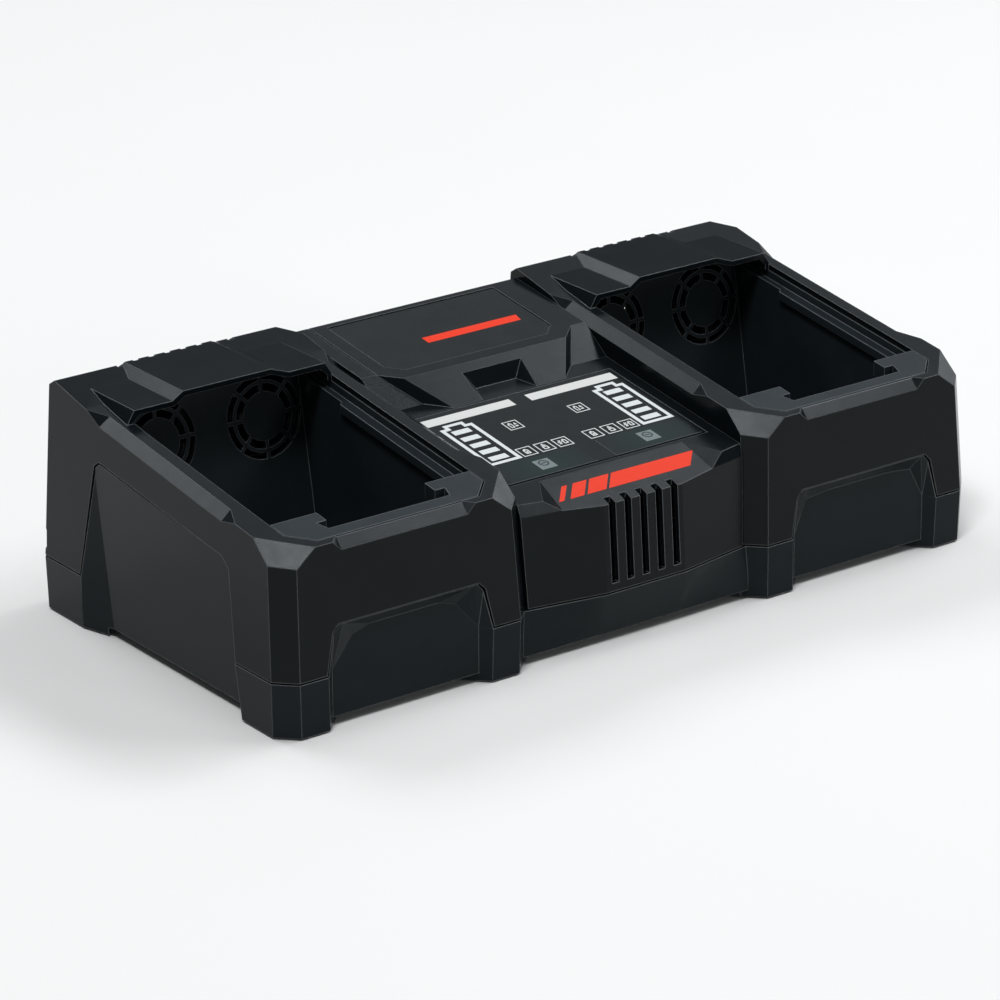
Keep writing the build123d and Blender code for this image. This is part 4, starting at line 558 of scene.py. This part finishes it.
def display_marks():
    """Everything printed white on the display, in generic signs."""
    upper_row, lower_row = 72.7, 49.8
    marks = gauge(-41.2) + gauge(42.7)
    for x in (-17.7, 18.5):
        marks.append(sign_box(x, upper_row))
        marks += charge_sign(x, upper_row - 0.1)
    for x, kind in ((-27.4, 0), (-17.6, 1), (-7.9, 2), (9.0, 0), (18.9, 1), (28.7, 2)):
        marks.append(sign_box(x, lower_row))
        marks += state_sign(x, lower_row, kind)
    return marks


def stripe(x_front, x_rear, width_front, width_rear):
    """One slanting block on the console's front slant."""
    front, rear = 11.15, 19.0
    return [
        (x_front, front),
        (x_front + width_front, front),
        (x_rear + width_rear, rear),
        (x_rear, rear),
    ]


# ================================================================== build
make_camera()
bpy.context.scene.view_settings.view_transform = "Standard"
make_studio()

cover = moulded("cover_plastic", (0.0032, 0.005, 0.0062), rough=0.21, level=LOW_SHEEN)
console = moulded("console_plastic", (0.0034, 0.0052, 0.0064), rough=0.21, level=LOW_SHEEN)
housing = moulded("housing_plastic", (0.005, 0.0085, 0.0104), rough=0.23, level=LOW_SHEEN)
liner = moulded("well_plastic", (0.0165, 0.0215, 0.024), rough=0.3, level=0.2)
panel = moulded("panel_plastic", DISPLAY_BLACK, rough=0.22, level=LOW_SHEEN, grain=0.3)
overlay = smooth_plastic("display_overlay", DISPLAY_BLACK, rough=0.22, level=LOW_SHEEN)
diffuser = printed("light_bar_diffuser", (0.66, 0.64, 0.61), glow=0.05)
white_ink = printed("white_ink", (0.72, 0.72, 0.705))
orange_ink = printed("orange_ink", (0.84, 0.048, 0.02))
grey_ink = printed("grey_ink", (0.19, 0.215, 0.215))
dark_ink = printed("dark_ink", (0.045, 0.05, 0.052))
line_ink = printed("line_ink", (0.085, 0.09, 0.1))
fan_plastic = smooth_plastic("fan_plastic", (0.005, 0.005, 0.0055), rough=0.6, level=0.1)
socket_plastic = smooth_plastic("socket_plastic", SOOT, rough=0.45)
rubber = moulded("pad_rubber", SOOT, rough=0.75, level=0.15)
plated = metal("plated_contacts", (0.72, 0.6, 0.36), rough=0.25)
steel = metal("zinc_screws", (0.42, 0.42, 0.44), rough=0.35)
black_steel = metal("black_screws", (0.03, 0.03, 0.033), rough=0.5)
fins = metal("extruded_fins", (0.62, 0.62, 0.64), rough=0.4)
ferrite = moulded("ferrite_core", (0.03, 0.03, 0.032), rough=0.6, level=0.32)
sleeve = smooth_plastic("capacitor_sleeve", (0.012, 0.02, 0.06), rough=0.3)
board = circuit_board("circuit_board")
copper = winding("copper_winding")

covers = ("bay_cover_left", "bay_cover_right", "console_cover")
for side in ("left", "right"):
    shell(f"bay_cover_{side}", cover, beside=("lower_housing", "console_cover"))
    shell(f"battery_well_{side}", liner)
    dress(f"terminal_block_{side}", socket_plastic)
    dress(f"terminal_blades_{side}", plated)
    dress(f"light_bar_{side}", diffuser)
    for position in ("outer", "inner"):
        dress(f"fan_frame_{side}_{position}", fan_plastic)
        dress(f"fan_rotor_{side}_{position}", fan_plastic)
shell("console_cover", console, beside=("lower_housing", "name_panel"))
shell("lower_housing", housing, reshape=flush_panel_top, beside=covers)
shell("name_panel", panel)
shell("display_panel", overlay)
for node, material in {
    "display_board": board,
    "main_board": board,
    "power_inlet": socket_plastic,
    "inlet_pins": plated,
    "housing_screws": steel,
    "board_screws": steel,
    "fan_screws": black_steel,
    "rubber_feet": rubber,
    "transformer_core": ferrite,
    "transformer_coil": copper,
    "choke_coil": copper,
    "heat_sink": fins,
    "capacitors": sleeve,
    "fuse": plated,
}.items():
    dress(node, material)

prints("display_signs", display_marks(), white_ink, on_display)
for side, middle in (("left", -27.5), ("right", 29.6)):
    film = touch_film(f"touch_film_{side}", tuple(on_display(middle, 36.5)))
    field = [rectangle(middle - 0.6, 36.6, 46.0, 15.6)]
    key = [rectangle(middle, 36.7, 8.3, 8.3)]
    round_mark = [ring(middle, 37.6, 2.5, 0.7), rectangle(middle, 37.6, 2.4, 0.7)]
    prints(f"touch_field_{side}", field, film, on_display)
    prints(f"mode_key_{side}", key, grey_ink, above_display(2))
    prints(f"mode_mark_{side}", round_mark, dark_ink, above_display(3))
field_lines = [
    rectangle(29.2, 28.55, 47.2, 0.35),
    rectangle(-28.6, 28.55, 48.0, 0.35),
    rectangle(5.6, 36.2, 0.4, 15.6),
]
prints("field_lines", field_lines, line_ink, above_display(1.5))
blocks = [
    stripe(-39.2, -32.0, 2.9, 2.9),
    stripe(-33.1, -25.9, 7.5, 7.5),
    stripe(-23.9, -17.0, 10.3, 10.5),
    stripe(-12.2, -5.1, 44.9, 45.3),
]
prints("front_stripes", blocks, orange_ink, on_slant)
name_stripe = [(-13.8, 141.1), (38.0, 141.1), (39.0, 146.5), (-13.7, 146.5)]
prints("name_stripe", [name_stripe], orange_ink, on_name_panel)
